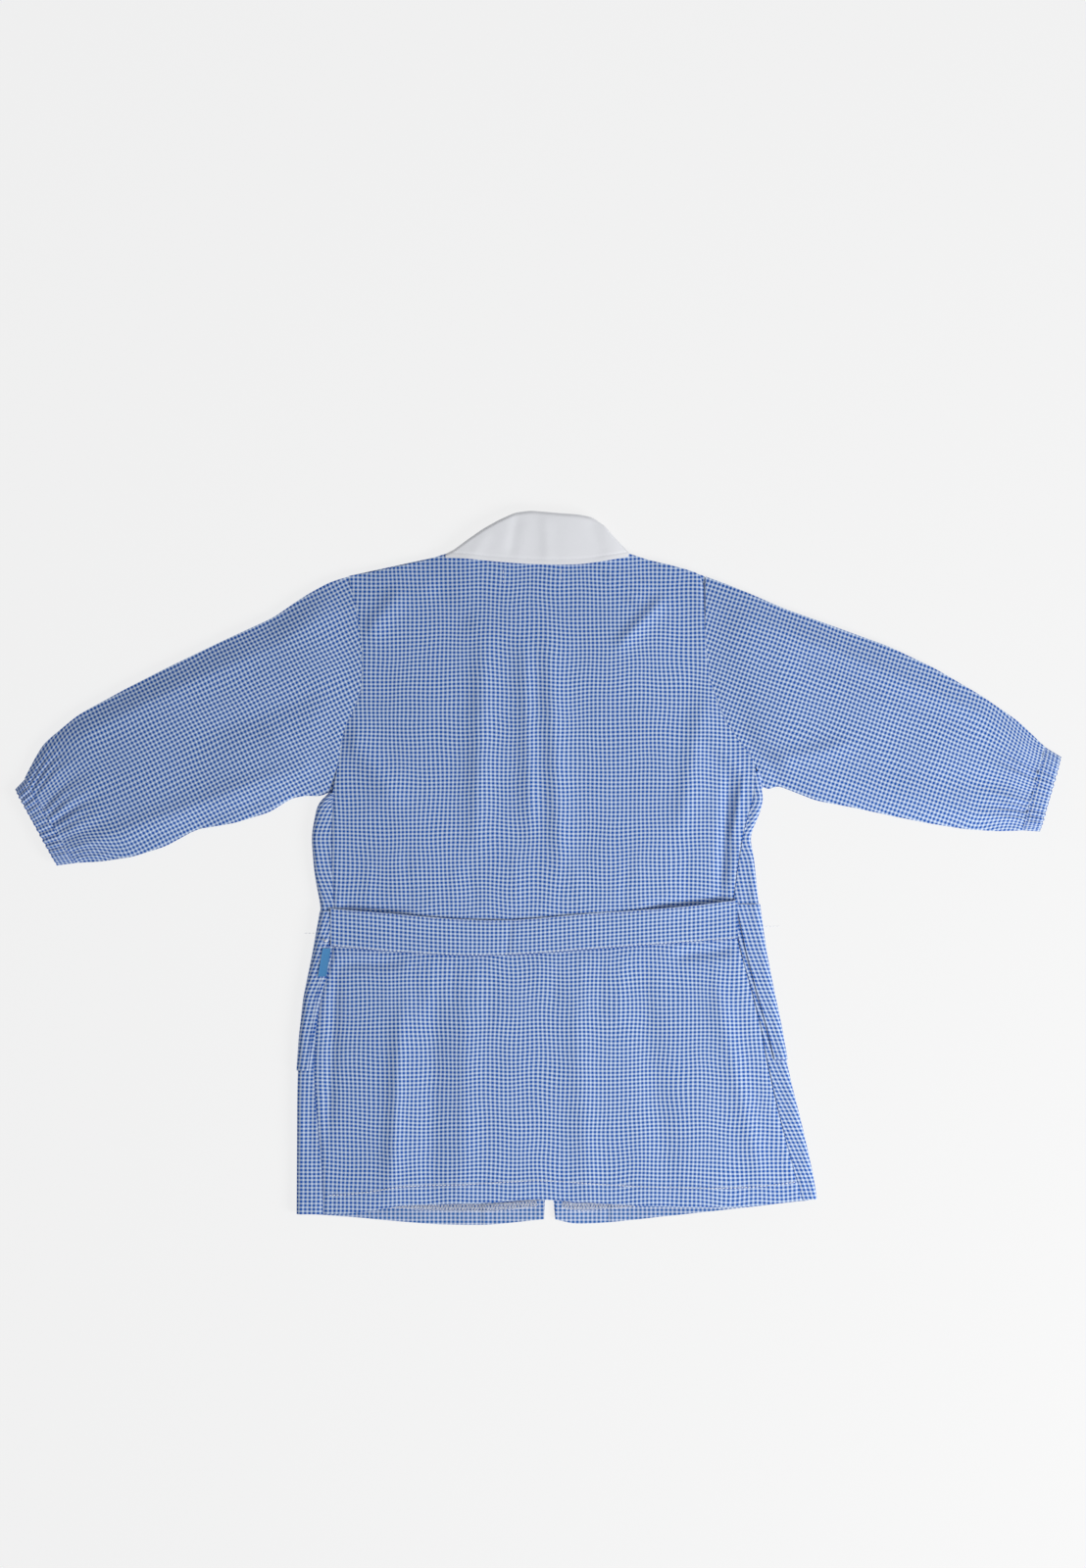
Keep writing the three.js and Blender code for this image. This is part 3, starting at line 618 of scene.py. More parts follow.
def back_folds(x, y):
    z = 0.55 * MM * waves(x, y, 190, 330, 11) + 0.2 * MM * waves(x, y, 60, 90, 12)
    strokes = [
        ((-45, 205), (-52, 20), 15, 1.0, 0.3), ((-14, 200), (-8, 30), 10, 0.8, -0.3),
        ((12, 205), (24, -10), 14, 0.9, 0.4), ((113, 238), (71, 195), 9, 0.9, 0.4),
        ((58, 262), (92, 240), 3.2, 0.5, 0.0), ((48, 262), (84, 236), 3.0, -0.45, 0.0),
        ((70, 266), (102, 248), 2.8, 0.4, 0.0), ((-120, 246), (-152, 205), 12, 0.8, 0.2),
        ((-95, 250), (-60, 215), 13, -0.6, 0.0), ((-172, 130), (-120, 60), 16, 0.9, 0.3),
        ((-118, -125), (-128, -290), 12, 1.2, 0.5), ((-92, -110), (-96, -296), 13, -0.9, 0.0),
        ((-60, -96), (-64, -290), 15, 0.8, 0.2), ((28, -90), (42, -292), 16, 0.9, -0.3),
        ((88, -88), (118, -292), 16, -0.8, 0.0), ((150, -86), (196, -280), 13, 1.0, -0.4),
        ((171, 84), (163, -24), 7, -1.6, 0.4), ((183, 84), (172, 24), 4, 1.0, 0.0),
        ((148, 120), (184, 84), 6, 0.8, 0.0), ((138, 110), (172, 82), 5, -0.7, 0.0),
        ((182, -70), (224, -244), 7, -0.9, 0.4),
        ((150, 150), (128, 30), 14, 0.8, 0.3), ((-178, -86), (-186, -240), 7, -0.8, 0.3),
        ((-186, -32), (-112, -39), 6, -1.6, 0.3), ((174, -25), (96, -35), 6, -1.6, -0.3),
        ((-178, -84), (-120, -84), 6, -1.2, 0.0), ((172, -72), (120, -77), 6, -1.2, 0.0),
    ]
    for start, end, width, height, lean in strokes:
        size = UPPER_FOLDS if start[1] > 120 else LOWER_FOLDS
        quiet = 1 - 0.8 * bell(y + 60 * MM, 32 * MM) * (height > 0)
        z = z + size * fold(x, y, start, end, 0.8 * width, height, lean) * quiet
    # small puckers above and below the belt
    for k, at in enumerate(np.linspace(-150, 150, 17)):
        sway = 6 * math.sin(2.3 * k)
        z = z + fold(x, y, (at, -36), (at + sway, 10 + 9 * math.sin(k)), 4.0, 0.45 * math.sin(1.9 * k + 1))
        z = z + fold(x, y, (at, -78), (at - sway, -132 - 9 * math.cos(k)), 4.2, 0.5 * math.sin(2.7 * k))
    return z


# %% The back as a sheet
hem_depth = by - np.interp(bx, back_hem[:, 0], back_hem[:, 1])
left_depth = bx - np.interp(by, back_left[:, 1], back_left[:, 0])
right_depth = np.interp(by, back_right[:, 1], back_right[:, 0]) - bx
side_depth = np.minimum(left_depth, right_depth)
back_z = settle(back_solid.height(bx, by) - CLOTH / 2, 4, 4)
edge_fade = smooth(side_depth, 0, 14 * MM)
back_z += back_folds(bx, by) * (0.25 + 0.75 * edge_fade) * (1 - 0.7 * smooth(by, 255 * MM, 280 * MM))
back_z += turned_hem(hem_depth, bx)
seam_drop = 0.5 + 1.1 * (1 - smooth(by, 50 * MM, 80 * MM))
back_z += (-seam_drop * bell(side_depth, 2.4 * MM) + 0.22 * ripple(by, 8, 1.0) * bell(side_depth, 7 * MM)) * MM
tuck = smooth(by, -84 * MM, -66 * MM) * (1 - smooth(by, -52 * MM, -34 * MM))
back_z -= 0.9 * MM * tuck
back_points = np.dstack([bx, by, back_z])
warp = np.dstack([1.8 * waves(bx, by, 220, 160, 21) + 0.9 * waves(bx, by, 70, 80, 23),
                  1.7 * waves(bx, by, 180, 200, 22) + 0.8 * waves(bx, by, 60, 90, 24)]) * MM
back = cloth("back", back_points, back_plan + warp, CLOTH, gingham)
keep(back, node="back_panel")

# %% [markdown]
# ## Rows of stitches
# A seam shows as a row of short thread humps that sink in at both ends. Each hump is a small spindle
# laid on the cloth, and a whole row is one mesh. The same helper sews the hems, the belt and the collar.

# %% Stitches
def spindles(name, starts, ends, thick, look, lift=0.0):
    """One mesh of small thread humps from each start to each end."""
    sides, rings = 6, (0.0, 0.12, 0.35, 0.65, 0.88, 1.0)
    fat = (0.25, 0.75, 1.0, 1.0, 0.75, 0.25)
    way = ends - starts
    run = np.linalg.norm(way, axis=1, keepdims=True)
    way = way / run
    across = np.cross(way, (0, 0, 1.0))
    across /= np.maximum(np.linalg.norm(across, axis=1, keepdims=True), 1e-9)
    up = np.cross(across, way)
    angle = np.arange(sides) / sides * 2 * math.pi
    points = []
    for t, f in zip(rings, fat):
        sink = lift - thick * 0.9 * (2 * t - 1) ** 2
        middle = starts + way * run * t + up * sink
        for a in angle:
            points.append(middle + thick * f * (across * math.cos(a) + up * math.sin(a)))
    count = len(starts)
    stack = np.stack(points, 1)
    ids = []
    for r in range(len(rings) - 1):
        for s in range(sides):
            n = (s + 1) % sides
            ids.append((r * sides + s, r * sides + n, (r + 1) * sides + n, (r + 1) * sides + s))
    caps = [tuple(range(sides))[::-1], tuple((len(rings) - 1) * sides + s for s in range(sides))]
    each = stack.shape[1]
    faces = []
    for k in range(count):
        faces += [tuple(k * each + i for i in f) for f in ids + caps]
    mesh = bpy.data.meshes.new(name)
    mesh.from_pydata(stack.reshape(-1, 3).tolist(), [], faces)
    layer = mesh.uv_layers.new(name="thread")
    loops = np.array([v for f in faces for v in f])
    flat = stack.reshape(-1, 3)[loops]
    layer.data.foreach_set("uv", np.stack([flat[:, 0] + flat[:, 2], flat[:, 1]], 1).astype(np.float32).ravel())
    mesh.polygons.foreach_set("use_smooth", np.ones(len(faces), bool))
    mesh.materials.append(look)
    print(name, count, "stitches")
    return link(name, mesh)


# %% Rows of stitches
STEPS = 8  # fine steps from one stitch to the next; a stitch takes six of them


def seam(name, line, stitch=2.6, gap=0.7, thick=0.2, lift=0.0, body="garment"):
    """A row of stitches along a line of points on the cloth."""
    total = float(np.linalg.norm(np.diff(line, axis=0), axis=1).sum())
    count = max(int(total / ((stitch + gap) * MM)), 1)
    fine = even(line, count * STEPS + 1)
    starts, ends = fine[0:-1:STEPS], fine[6::STEPS][:count]
    made = spindles(name, starts, ends, thick * MM, thread_white, lift * MM)
    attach(made, body)
    return made


# %% A finished grid that can be read
class Surface:
    """Reads the height of a finished grid, so that other pieces can lie on it."""

    def __init__(self, *grids):
        points, faces = [], []
        for grid in grids:
            ids = face_ids(*grid.shape[:2], False)[0] + len(points)
            points += grid.reshape(-1, 3).tolist()
            faces += ids.tolist()
        self.tree = BVHTree.FromPolygons(points, faces)

    def at(self, plan, lift=0.0, under=False):
        return np.array([(x, y, plumb(self.tree, x, y, under, 6 * MM) + lift) for x, y in plan])


# %% Stitches of the back
back_surface = Surface(back_points)
hem_line = back_hem[3:-3] + np.array([0, HEM - 0.6 * MM])
seam("back_hem_stitches", back_surface.at(hem_line, CLOTH / 2), stitch=2.6, gap=0.7, thick=0.4, lift=0.3)
for tag, x, low, high in (("a", -31, 253, 266), ("b", 20.5, 256, 267)):
    tack = np.stack([np.full(12, x) * MM, np.linspace(low, high, 12) * MM], 1)
    seam("tack_stitches_" + tag, back_surface.at(tack, CLOTH / 2), stitch=3.0, gap=1.2, thick=0.26)

# %% [markdown]
# ## The sleeves
# A long sleeve is one cut of cloth sewn into a tube. At the wrist it is wider than its cuff, so it is
# gathered there and the checks crowd together. Each sleeve is one closed grid that runs round the tube,
# with its own chart: straight threads along the arm, and more cloth across than there is room for near
# the wrist. The gathers are waves that grow towards the cuff, and long soft folds lie along the arm.

# %% Sleeve grid
def ring(cols):
    """How far across the flat tube each point of the ring lies, and which skin it is on."""
    angle = (np.arange(cols) + 0.5) / cols * 2 * math.pi
    u = (1 - np.cos(angle)) / 2
    u = 0.45 * u + 0.55 * (1 - np.abs(1 - angle / math.pi))
    return u, np.sign(np.sin(angle)), np.abs(np.sin(angle))


def tube_plan(bottom, top, low, high, u):
    """Fills the plan between four edges, sampled at the ring's own steps across."""
    dense = patch(bottom, top, low, high)
    at = u * (dense.shape[1] - 1)
    k = np.minimum(at.astype(int), dense.shape[1] - 2)
    f = (at - k)[None, :, None]
    return dense[:, k] * (1 - f) + dense[:, k + 1] * f


def turn_plan(plan, origin, way):
    """Plan points as (across, along) a direction."""
    p = plan - origin
    return np.stack([p[..., 0] * way[1] - p[..., 1] * way[0], p[..., 0] * way[0] + p[..., 1] * way[1]], -1)


# %% Sleeve chart
RING = 232  # points round a sleeve
ROWS = 168  # rows from the armhole to the wrist
GATHERS = 29
TUCK = 3.2 * MM  # how far the sleeve's first rows reach in under the back
WRIST_Z, WRIST_HALF = 5.5 * MM, 4.1 * MM


def sleeve_chart(across, crowd, skin, seed):
    """Threads run straight along the arm; the far skin carries on beyond the upper fold."""
    b, a = across[..., 0], across[..., 1]
    turn_at = b[:, RING // 2 : RING // 2 + 1]
    centre = (b[:, :1] + turn_at) / 2
    wide = np.concatenate([np.where(skin[None] > 0, b, 2 * turn_at - b), 2 * turn_at - b[:, :1]], 1)
    crowded = np.concatenate([crowd, crowd[:, :1]], 1)
    wide = centre + (wide - centre) * (1 + 0.5 * crowded**1.3)
    along = np.concatenate([a, a[:, :1]], 1)
    slack = (1.2 * waves(wide, along, 150, 160, seed + 1) + 0.6 * waves(wide, along, 60, 70, seed + 2)) * MM
    return np.dstack([wide + slack, along - slack * 0.8])


# %% One sleeve
def build_sleeve(side, k, underarm, strokes, seed):
    solid = Solid("sleeve_" + side)
    shoulder = corner(solid, 0, 1)
    wrist_low, wrist_high = corner(solid, k, -1.6), corner(solid, k, 0.2)
    under = np.array(underarm) * MM
    y = np.linspace(under[1], shoulder[1], 140)
    armhole = np.stack([soften(reach(solid, y, 1, 1 if k < 0 else 0), 2), y], 1)
    armhole[0], armhole[-1] = under, shoulder
    tucked = np.sin(np.linspace(0.12, 1, 140) * math.pi * 0.95)[:, None] * np.array([-k * TUCK, 0])
    edges = []
    for start, end, which in ((under, wrist_low, 0), (shoulder, wrist_high, 1)):
        x = np.linspace(start[0], end[0], 400)
        line = np.stack([x, soften(reach(solid, x, 0, which), 6)], 1)
        line[0], line[-1] = start, end
        edges.append(even(line, ROWS))
    cuff = np.linspace(wrist_low, wrist_high, 140)
    u, skin, bulge = ring(RING)
    plan = tube_plan(armhole, cuff, edges[0], edges[1], u)
    inside = plan.copy()
    inside[:3] = plan[3]
    top, low = (solid.height(inside[..., 0], inside[..., 1], under=w) for w in (False, True))
    back_in = tube_plan(tucked, 0 * cuff, 0 * edges[0], 0 * edges[1], u)[:1]
    plan = plan + back_in * np.exp(-np.arange(ROWS) / 2.5)[:, None, None]
    x, y = plan[..., 0], plan[..., 1]
    top, low = (settle(v, 2, 2) for v in (top, low))
    middle, half = (top + low) / 2, np.maximum((top - low) / 2 - CLOTH / 2, 0.3 * MM)
    wrist_share = smooth(np.arange(ROWS), ROWS - 14, ROWS - 3)[:, None]
    middle = middle * (1 - wrist_share) + WRIST_Z * wrist_share
    half = half * (1 - wrist_share) + WRIST_HALF * wrist_share
    z = middle + skin * half * np.minimum(1, (bulge[None] / 0.55)) ** 0.8
    way = ((wrist_low + wrist_high) - (under + shoulder)) / 2
    way /= np.linalg.norm(way)
    across = turn_plan(plan, wrist_low, way)
    run = np.r_[0, np.cumsum(np.linalg.norm(np.diff((edges[0] + edges[1]) / 2, axis=0), axis=1))]
    left_over = (run[-1] - run)[:, None] + 0 * x
    crowd = 1 - smooth(left_over, 0, 62 * MM)
    turn = (np.arange(RING) + 0.5) / RING
    wander = 0.5 * np.sin(left_over / (13 * MM) + 9 * turn[None] + seed)
    gather = np.sin(2 * math.pi * GATHERS * turn[None] + 1.3 * np.sin(17 * turn[None] + seed) + wander)
    gather = gather * (0.55 + 0.45 * np.sin(11 * math.pi * turn[None] + seed))
    broad = np.sin(2 * math.pi * 11 * turn[None] + 2 * np.sin(7 * turn[None] + 2 * seed) + 0.4 * wander)
    relief = 2.0 * MM * gather * crowd**1.8 * (1 - 0.45 * crowd**6)
    relief = relief + 2.4 * MM * broad * crowd * (1 - 0.75 * crowd)
    relief = relief + 0.6 * MM * waves(x, y, 120, 150, seed) * (1 - crowd)
    for start, end, width, height, lean in strokes:
        relief = relief + 1.9 * fold(x, y, start, end, width, height, lean) * (skin > 0)
    seam_fade = smooth(run, 0, 9 * MM)[:, None]
    relief = relief * (0.15 + 0.85 * seam_fade) - 0.35 * MM * bell(run - 1 * MM, 3 * MM)[:, None]
    z = z + skin * relief * (0.25 + 0.75 * bulge)
    z = np.maximum(z, CLOTH / 2 + 0.05 * MM)
    points = np.dstack([x, y, z])
    chart = sleeve_chart(across, crowd, skin, seed)
    made = cloth("sleeve_" + side + "_cloth", points, chart, CLOTH, gingham_sleeve, closed=True)
    return keep(made, body=None, node="sleeve_" + side)


# %% Both sleeves
left_strokes = [
    ((-392, 28), (-214, 92), 9, 1.1, 0.5), ((-380, 14), (-226, 66), 6, -0.8, 0.0),
    ((-420, 112), (-250, 190), 12, 0.9, -0.3), ((-300, 120), (-190, 160), 14, -0.8, 0.2),
    ((-196, 84), (-246, 120), 9, 0.9, 0.3), ((-180, 236), (-236, 196), 12, 0.7, 0.2),
]
right_strokes = [
    ((196, 226), (404, 132), 10, 1.0, 0.4), ((210, 204), (392, 120), 8, -0.7, 0.0),
    ((206, 92), (280, 108), 9, 1.0, -0.3), ((230, 66), (396, 44), 8, 0.8, 0.3),
    ((168, 222), (232, 184), 12, 0.8, 0.2), ((300, 90), (420, 70), 12, -0.6, 0.0),
    ((178, 118), (214, 84), 4, -0.8, 0.0), ((186, 126), (228, 90), 5, 0.8, 0.0),
]
sleeve_left = build_sleeve("left", -1, (-186.5, 68), left_strokes, 31)
sleeve_right = build_sleeve("right", 1, (200.0, 70), right_strokes, 41)
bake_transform(sleeve_left)
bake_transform(sleeve_right)

# %% [markdown]
# ## Cuffs and elastics
# The cuff is the sleeve's own end turned in and stitched to make a tunnel. A flat elastic inside pulls
# it together, so the tunnel puckers into small pillows. The grid runs out along the tunnel, turns at the
# mouth and comes back inside, which leaves a real hollow for the elastic.

# %% Elastics
BAND_ROWS = 9
PUCKERS = 31


def build_elastic(side, corners, around, pucker):
    """A flat band on the same ring as the cuff, between a third and four fifths of the way out."""
    inner_low, inner_high, outer_low, outer_high = corners
    u, skin, bulge = ring(RING)
    lows, highs = ([p * (1 - out) + q * out for out in (0.3, 0.8)]
                   for p, q in ((inner_low, outer_low), (inner_high, outer_high)))
    across = [np.linspace(p, q, 60) for p, q in zip(lows, highs)]
    plan = tube_plan(*across, *(np.linspace(*ends, BAND_ROWS) for ends in (lows, highs)), u)
    middle = (inner_low + inner_high + outer_low + outer_high) / 4
    plan = middle + (plan - middle) * 0.965
    z = WRIST_Z + skin * 3.5 * MM * np.minimum(1, bulge / 0.5) ** 0.7 + 0.12 * MM * pucker
    points = np.dstack([plan, np.repeat(z[None], BAND_ROWS, 0)])
    chart = np.dstack(np.meshgrid(around * 0.65, np.linspace(0, 6 * MM, BAND_ROWS)))
    elastic = cloth("elastic_" + side + "_band", points, chart, 0.6 * MM, elastic_white, closed=True)
    keep(elastic, side + "_sleeve", "elastic_" + side)


# %% Cuffs
def build_cuff(side, k, seed):
    solid = Solid("cuff_" + side)
    inner_low, inner_high = corner(solid, -k, 0), corner(solid, 0, 1)
    outer_low, outer_high = corner(solid, 0, -1), corner(solid, k, 0)
    u, skin, bulge = ring(RING)
    turn = (np.arange(RING) + 0.5) / RING
    path = np.r_[np.linspace(-0.12, 1, 15), np.linspace(0.97, 0.2, 9)]
    inside = np.r_[np.zeros(15), np.linspace(0.5, 1, 9)]
    a = (1 - path)[:, None, None] * (inner_low + (inner_high - inner_low) * u[:, None])[None]
    b = path[:, None, None] * (outer_low + (outer_high - outer_low) * u[:, None])[None]
    plan = a + b
    way = (outer_low + outer_high - inner_low - inner_high) / 2
    way = way / np.linalg.norm(way)
    pucker = np.sin(2 * math.pi * PUCKERS * turn + 1.1 * np.sin(13 * turn + seed))
    pucker = pucker * (0.7 + 0.3 * np.sin(9 * math.pi * turn + seed))
    arch = np.sin(np.clip(path, 0, 1) * math.pi)[:, None] ** 0.5
    half = 4.3 * MM + 0.6 * MM * arch + 1.05 * MM * pucker[None] * (0.5 + 0.5 * arch)
    half = half - inside[:, None] * 1.7 * MM
    z = WRIST_Z + skin[None] * half * np.minimum(1, bulge[None] / 0.5) ** 0.7
    side_step = np.where(u < 0.5, -1, 1)[None] * (1 - bulge[None]) ** 2
    line = (inner_high - inner_low) / np.linalg.norm(inner_high - inner_low)
    plan = plan + side_step[..., None] * line * (0.4 * pucker[None, :, None] - 1.4 * inside[:, None, None]) * MM
    plan = plan + way * (0.5 * MM * pucker[None, :, None] * smooth(path, 0.6, 1)[:, None, None])
    points = np.dstack([plan, np.maximum(z, CLOTH / 2 + 0.05 * MM)])
    around = np.r_[turn, turn[0] + 1] * np.linalg.norm(inner_high - inner_low) * 2 * 1.55
    down = np.r_[0, np.cumsum(np.linalg.norm(np.diff(points[:, 8], axis=0), axis=1))]
    chart = np.dstack(np.meshgrid(around, down))
    made = cloth("cuff_" + side + "_tunnel", points, chart, CLOTH, gingham_sleeve, closed=True)
    keep(made, side + "_sleeve", "cuff_" + side)
    row = points[3].copy()
    row[:, 2] += skin * 0.4 * MM
    for tag, chosen in (("top", skin > 0), ("under", skin < 0)):
        seam("cuff_" + side + "_stitches_" + tag, row[chosen][3:-3], stitch=2.2, gap=0.8, thick=0.22,
             body=side + "_sleeve")
    build_elastic(side, (inner_low, inner_high, outer_low, outer_high), around, pucker)


build_cuff("left", -1, 3.0)
build_cuff("right", 1, 5.0)

# %% [markdown]
# ## The fronts
# Each front is one cut that lies face down under the back. At the side it rolls upwards and comes back
# over the top to meet the back at the side seam, so a strip of it shows along each side. The flat part
# is filled between its edges like the back; the roll is a second grid that follows a half circle.

# %% Side strips
ROLL = 3.9 * MM
LOW_Z = 1.7 * MM
SEAM_Z = 9.5 * MM


def side_strip(name, x_out, y, k, reach_in, z_low, z_high, look, hem=None, chart_shift=0.0):
    """Cloth that rolls round the side: from the lower layer, round the edge and in over the top."""
    radius = (z_high - z_low) / 2
    angle = np.linspace(0, math.pi, 15)
    arc_x, arc_z = radius * (1 - np.sin(angle)), z_low + radius * (1 - np.cos(angle))
    flat = np.linspace(0, 1, 13)[1:]
    xs, zs = [], []
    for row in range(len(y)):
        run = reach_in[row] - radius
        xs.append(x_out[row] - k * np.r_[arc_x, radius + flat * run])
        zs.append(np.r_[arc_z, np.full(12, z_high)])
    x, z = np.array(xs), np.array(zs)
    yy = np.repeat(y[:, None], x.shape[1], 1)
    over = (np.arange(x.shape[1]) > 7)[None] * np.ones_like(x)
    across = np.cumsum(np.hypot(np.diff(x, axis=1, prepend=x[:, :1]), np.diff(z, axis=1, prepend=z[:, :1])), 1)
    lift = 0.35 * MM * waves(x * 3, yy, 60, 120, 51 + k) * over
    lift = lift + 0.3 * MM * ripple(yy, 9, 2.0) * smooth(across, across[:, -1:] - 6 * MM, across[:, -1:])
    if hem is not None:
        lift = lift + turned_hem(yy - hem, x, 0.4) * over
    fade = np.minimum(1, np.arange(x.shape[1])[::-1] / 4.0)
    points = np.dstack([x, yy, z + lift * fade[None]])
    chart = np.dstack([k * (across - radius) + x_out[:, None] + chart_shift, yy])
    if k < 0:
        points, chart = points[:, ::-1], chart[:, ::-1]
    chart = chart + np.dstack([0.4 * MM * waves(x, yy, 90, 140, 52), 0.4 * MM * waves(x, yy, 90, 140, 53)])
    made = cloth(name, points, chart, CLOTH, look)
    return made, points


# %% Fronts
PINCH, PINCH_Y = 3.8 * MM, 27 * MM  # how far the right side is drawn in, and where
front_grids = {}
for side, k in (("left", -1), ("right", 1)):
    solid = Solid("front_" + side)
    near = 0 if k < 0 else 1
    out_low = corner(solid, k, -1.6)
    out_high = np.array([-0.1688, 0.2585]) if k < 0 else np.array([0.1495, 0.2585])
    y_under = 0.062 if k < 0 else 0.074
    y = np.linspace(out_low[1] + 0.2 * MM, out_high[1], 150)
    x = soften(reach(solid, y, 1, near), 2)
    x = x - k * (ROLL + 0.6 * MM) * (1 - smooth(y, y_under - 4 * MM, y_under + 6 * MM))
    x = x - (k > 0) * PINCH * bell(y - PINCH_Y, 15 * MM)
    outer = np.stack([x, y], 1)
    centre_top = 0.2235
    centre_low = corner(solid, -k, -0.6) if k < 0 else corner(solid, -k, -0.9)
    yc = np.linspace(centre_low[1], centre_top, 150)
    xc = soften(reach(solid, yc, 1, 1 - near), 2)
    inner = np.stack([xc, yc], 1)
    xs = np.linspace(outer[0, 0], inner[0, 0], 110)
    hem_y = soften(reach(solid, xs, 0, 0), 2)
    hem_y[0], hem_y[-1] = outer[0, 1], inner[0, 1]
    xt = np.linspace(outer[-1, 0], inner[-1, 0], 110)
    top_y = soften(reach(solid, xt, 0, 1), 1)
    top_y[0], top_y[-1] = outer[-1, 1], inner[-1, 1]
    hem_line, top_line = np.stack([xs, hem_y], 1), np.stack([xt, top_y], 1)
    if k < 0:
        plan = patch(hem_line, top_line, outer, inner)
    else:
        plan = patch(hem_line[::-1], top_line[::-1], inner, outer)
    px, py = plan[..., 0], plan[..., 1]
    z = settle(solid.height(px, py, under=True), 2, 2) + CLOTH / 2
    hem_at = np.interp(px, *(hem_line[::-1] if k > 0 else hem_line).T)
    z = z - np.minimum(turned_hem(py - hem_at, px, 0.4), 0.4 * MM)
    z = z + 0.35 * MM * waves(px, py, 110, 160, 61 + k) + 0.15 * MM * waves(px, py, 40, 60, 62 + k)
    z = np.maximum(z, 0.9 * MM)
    points = np.dstack([px, py, z])
    chart = plan + np.dstack([0.4 * MM * waves(px, py, 200, 180, 63), 0.4 * MM * waves(px, py, 180, 200, 64)])
    chart = chart + np.array([1.3 * MM * k, 0.8 * MM])
    panel = cloth("front_" + side + "_panel", points, chart, CLOTH, gingham)
    front_grids[side] = points
    ys = np.linspace(out_low[1] + 0.2 * MM, y_under + (5 if k < 0 else 12) * MM, 130)
    x_out = soften(reach(solid, ys, 1, near), 2)
    back_x = reach(back_solid, np.clip(ys, back_low_left[1] if k < 0 else back_low_right[1], 0.25), 1, near)
    back_x = soften(back_x, 2)
    reach_in = k * (x_out - back_x) + 1.8 * MM
    if k > 0:
        pinch = PINCH * bell(ys - PINCH_Y, 15 * MM)
        x_out, reach_in = x_out - pinch, reach_in - pinch
    strip, strip_points = side_strip("front_" + side + "_side", x_out, ys, k, reach_in, LOW_Z, SEAM_Z, gingham,
                                     hem=out_low[1])
    for piece, grid, node in ((panel, points, "front_" + side), (strip, strip_points, None)):
        keep(piece, node=node)
    surface = Surface(points)
    line = hem_line[4:-4] + np.array([0, HEM - 0.6 * MM])
    seam("front_" + side + "_hem_stitches", surface.at(line, -CLOTH / 2, under=True), stitch=2.5, gap=0.8,
         thick=0.28)

# %% [markdown]
# ## Facings, seam edges and pockets
# Inside each front edge runs a facing, the edge's own cloth folded back. Its raw side is bound with white
# overlock thread, and so is the turned-up hem. Two patch pockets sit outside on the fronts, so they lie
# underneath here, and their outer edges come round the sides with the cloth.

# %% Overlock
def overlock(name, line, width=3.4, pitch=2.8):
    """Binding thread along a raw edge: a zigzag between two straight threads."""
    total = float(np.linalg.norm(np.diff(line, axis=0), axis=1).sum())
    count = int(total / (pitch / 2 * MM))
    path = even(line, count + 1)
    way = np.gradient(path, axis=0)
    way /= np.linalg.norm(way, axis=1, keepdims=True)
    side = np.cross(way, (0, 0, 1.0)) * width / 2 * MM
    left, right = path + side, path - side
    zigzag = np.where((np.arange(count + 1) % 2 == 0)[:, None], left, right)
    starts = np.concatenate([zigzag[:-1], left[:-2:2], right[1:-2:2]])
    ends = np.concatenate([zigzag[1:], left[2::2], right[3::2]])
    return spindles(name, starts, ends, 0.25 * MM, thread_white, 0.15 * MM)


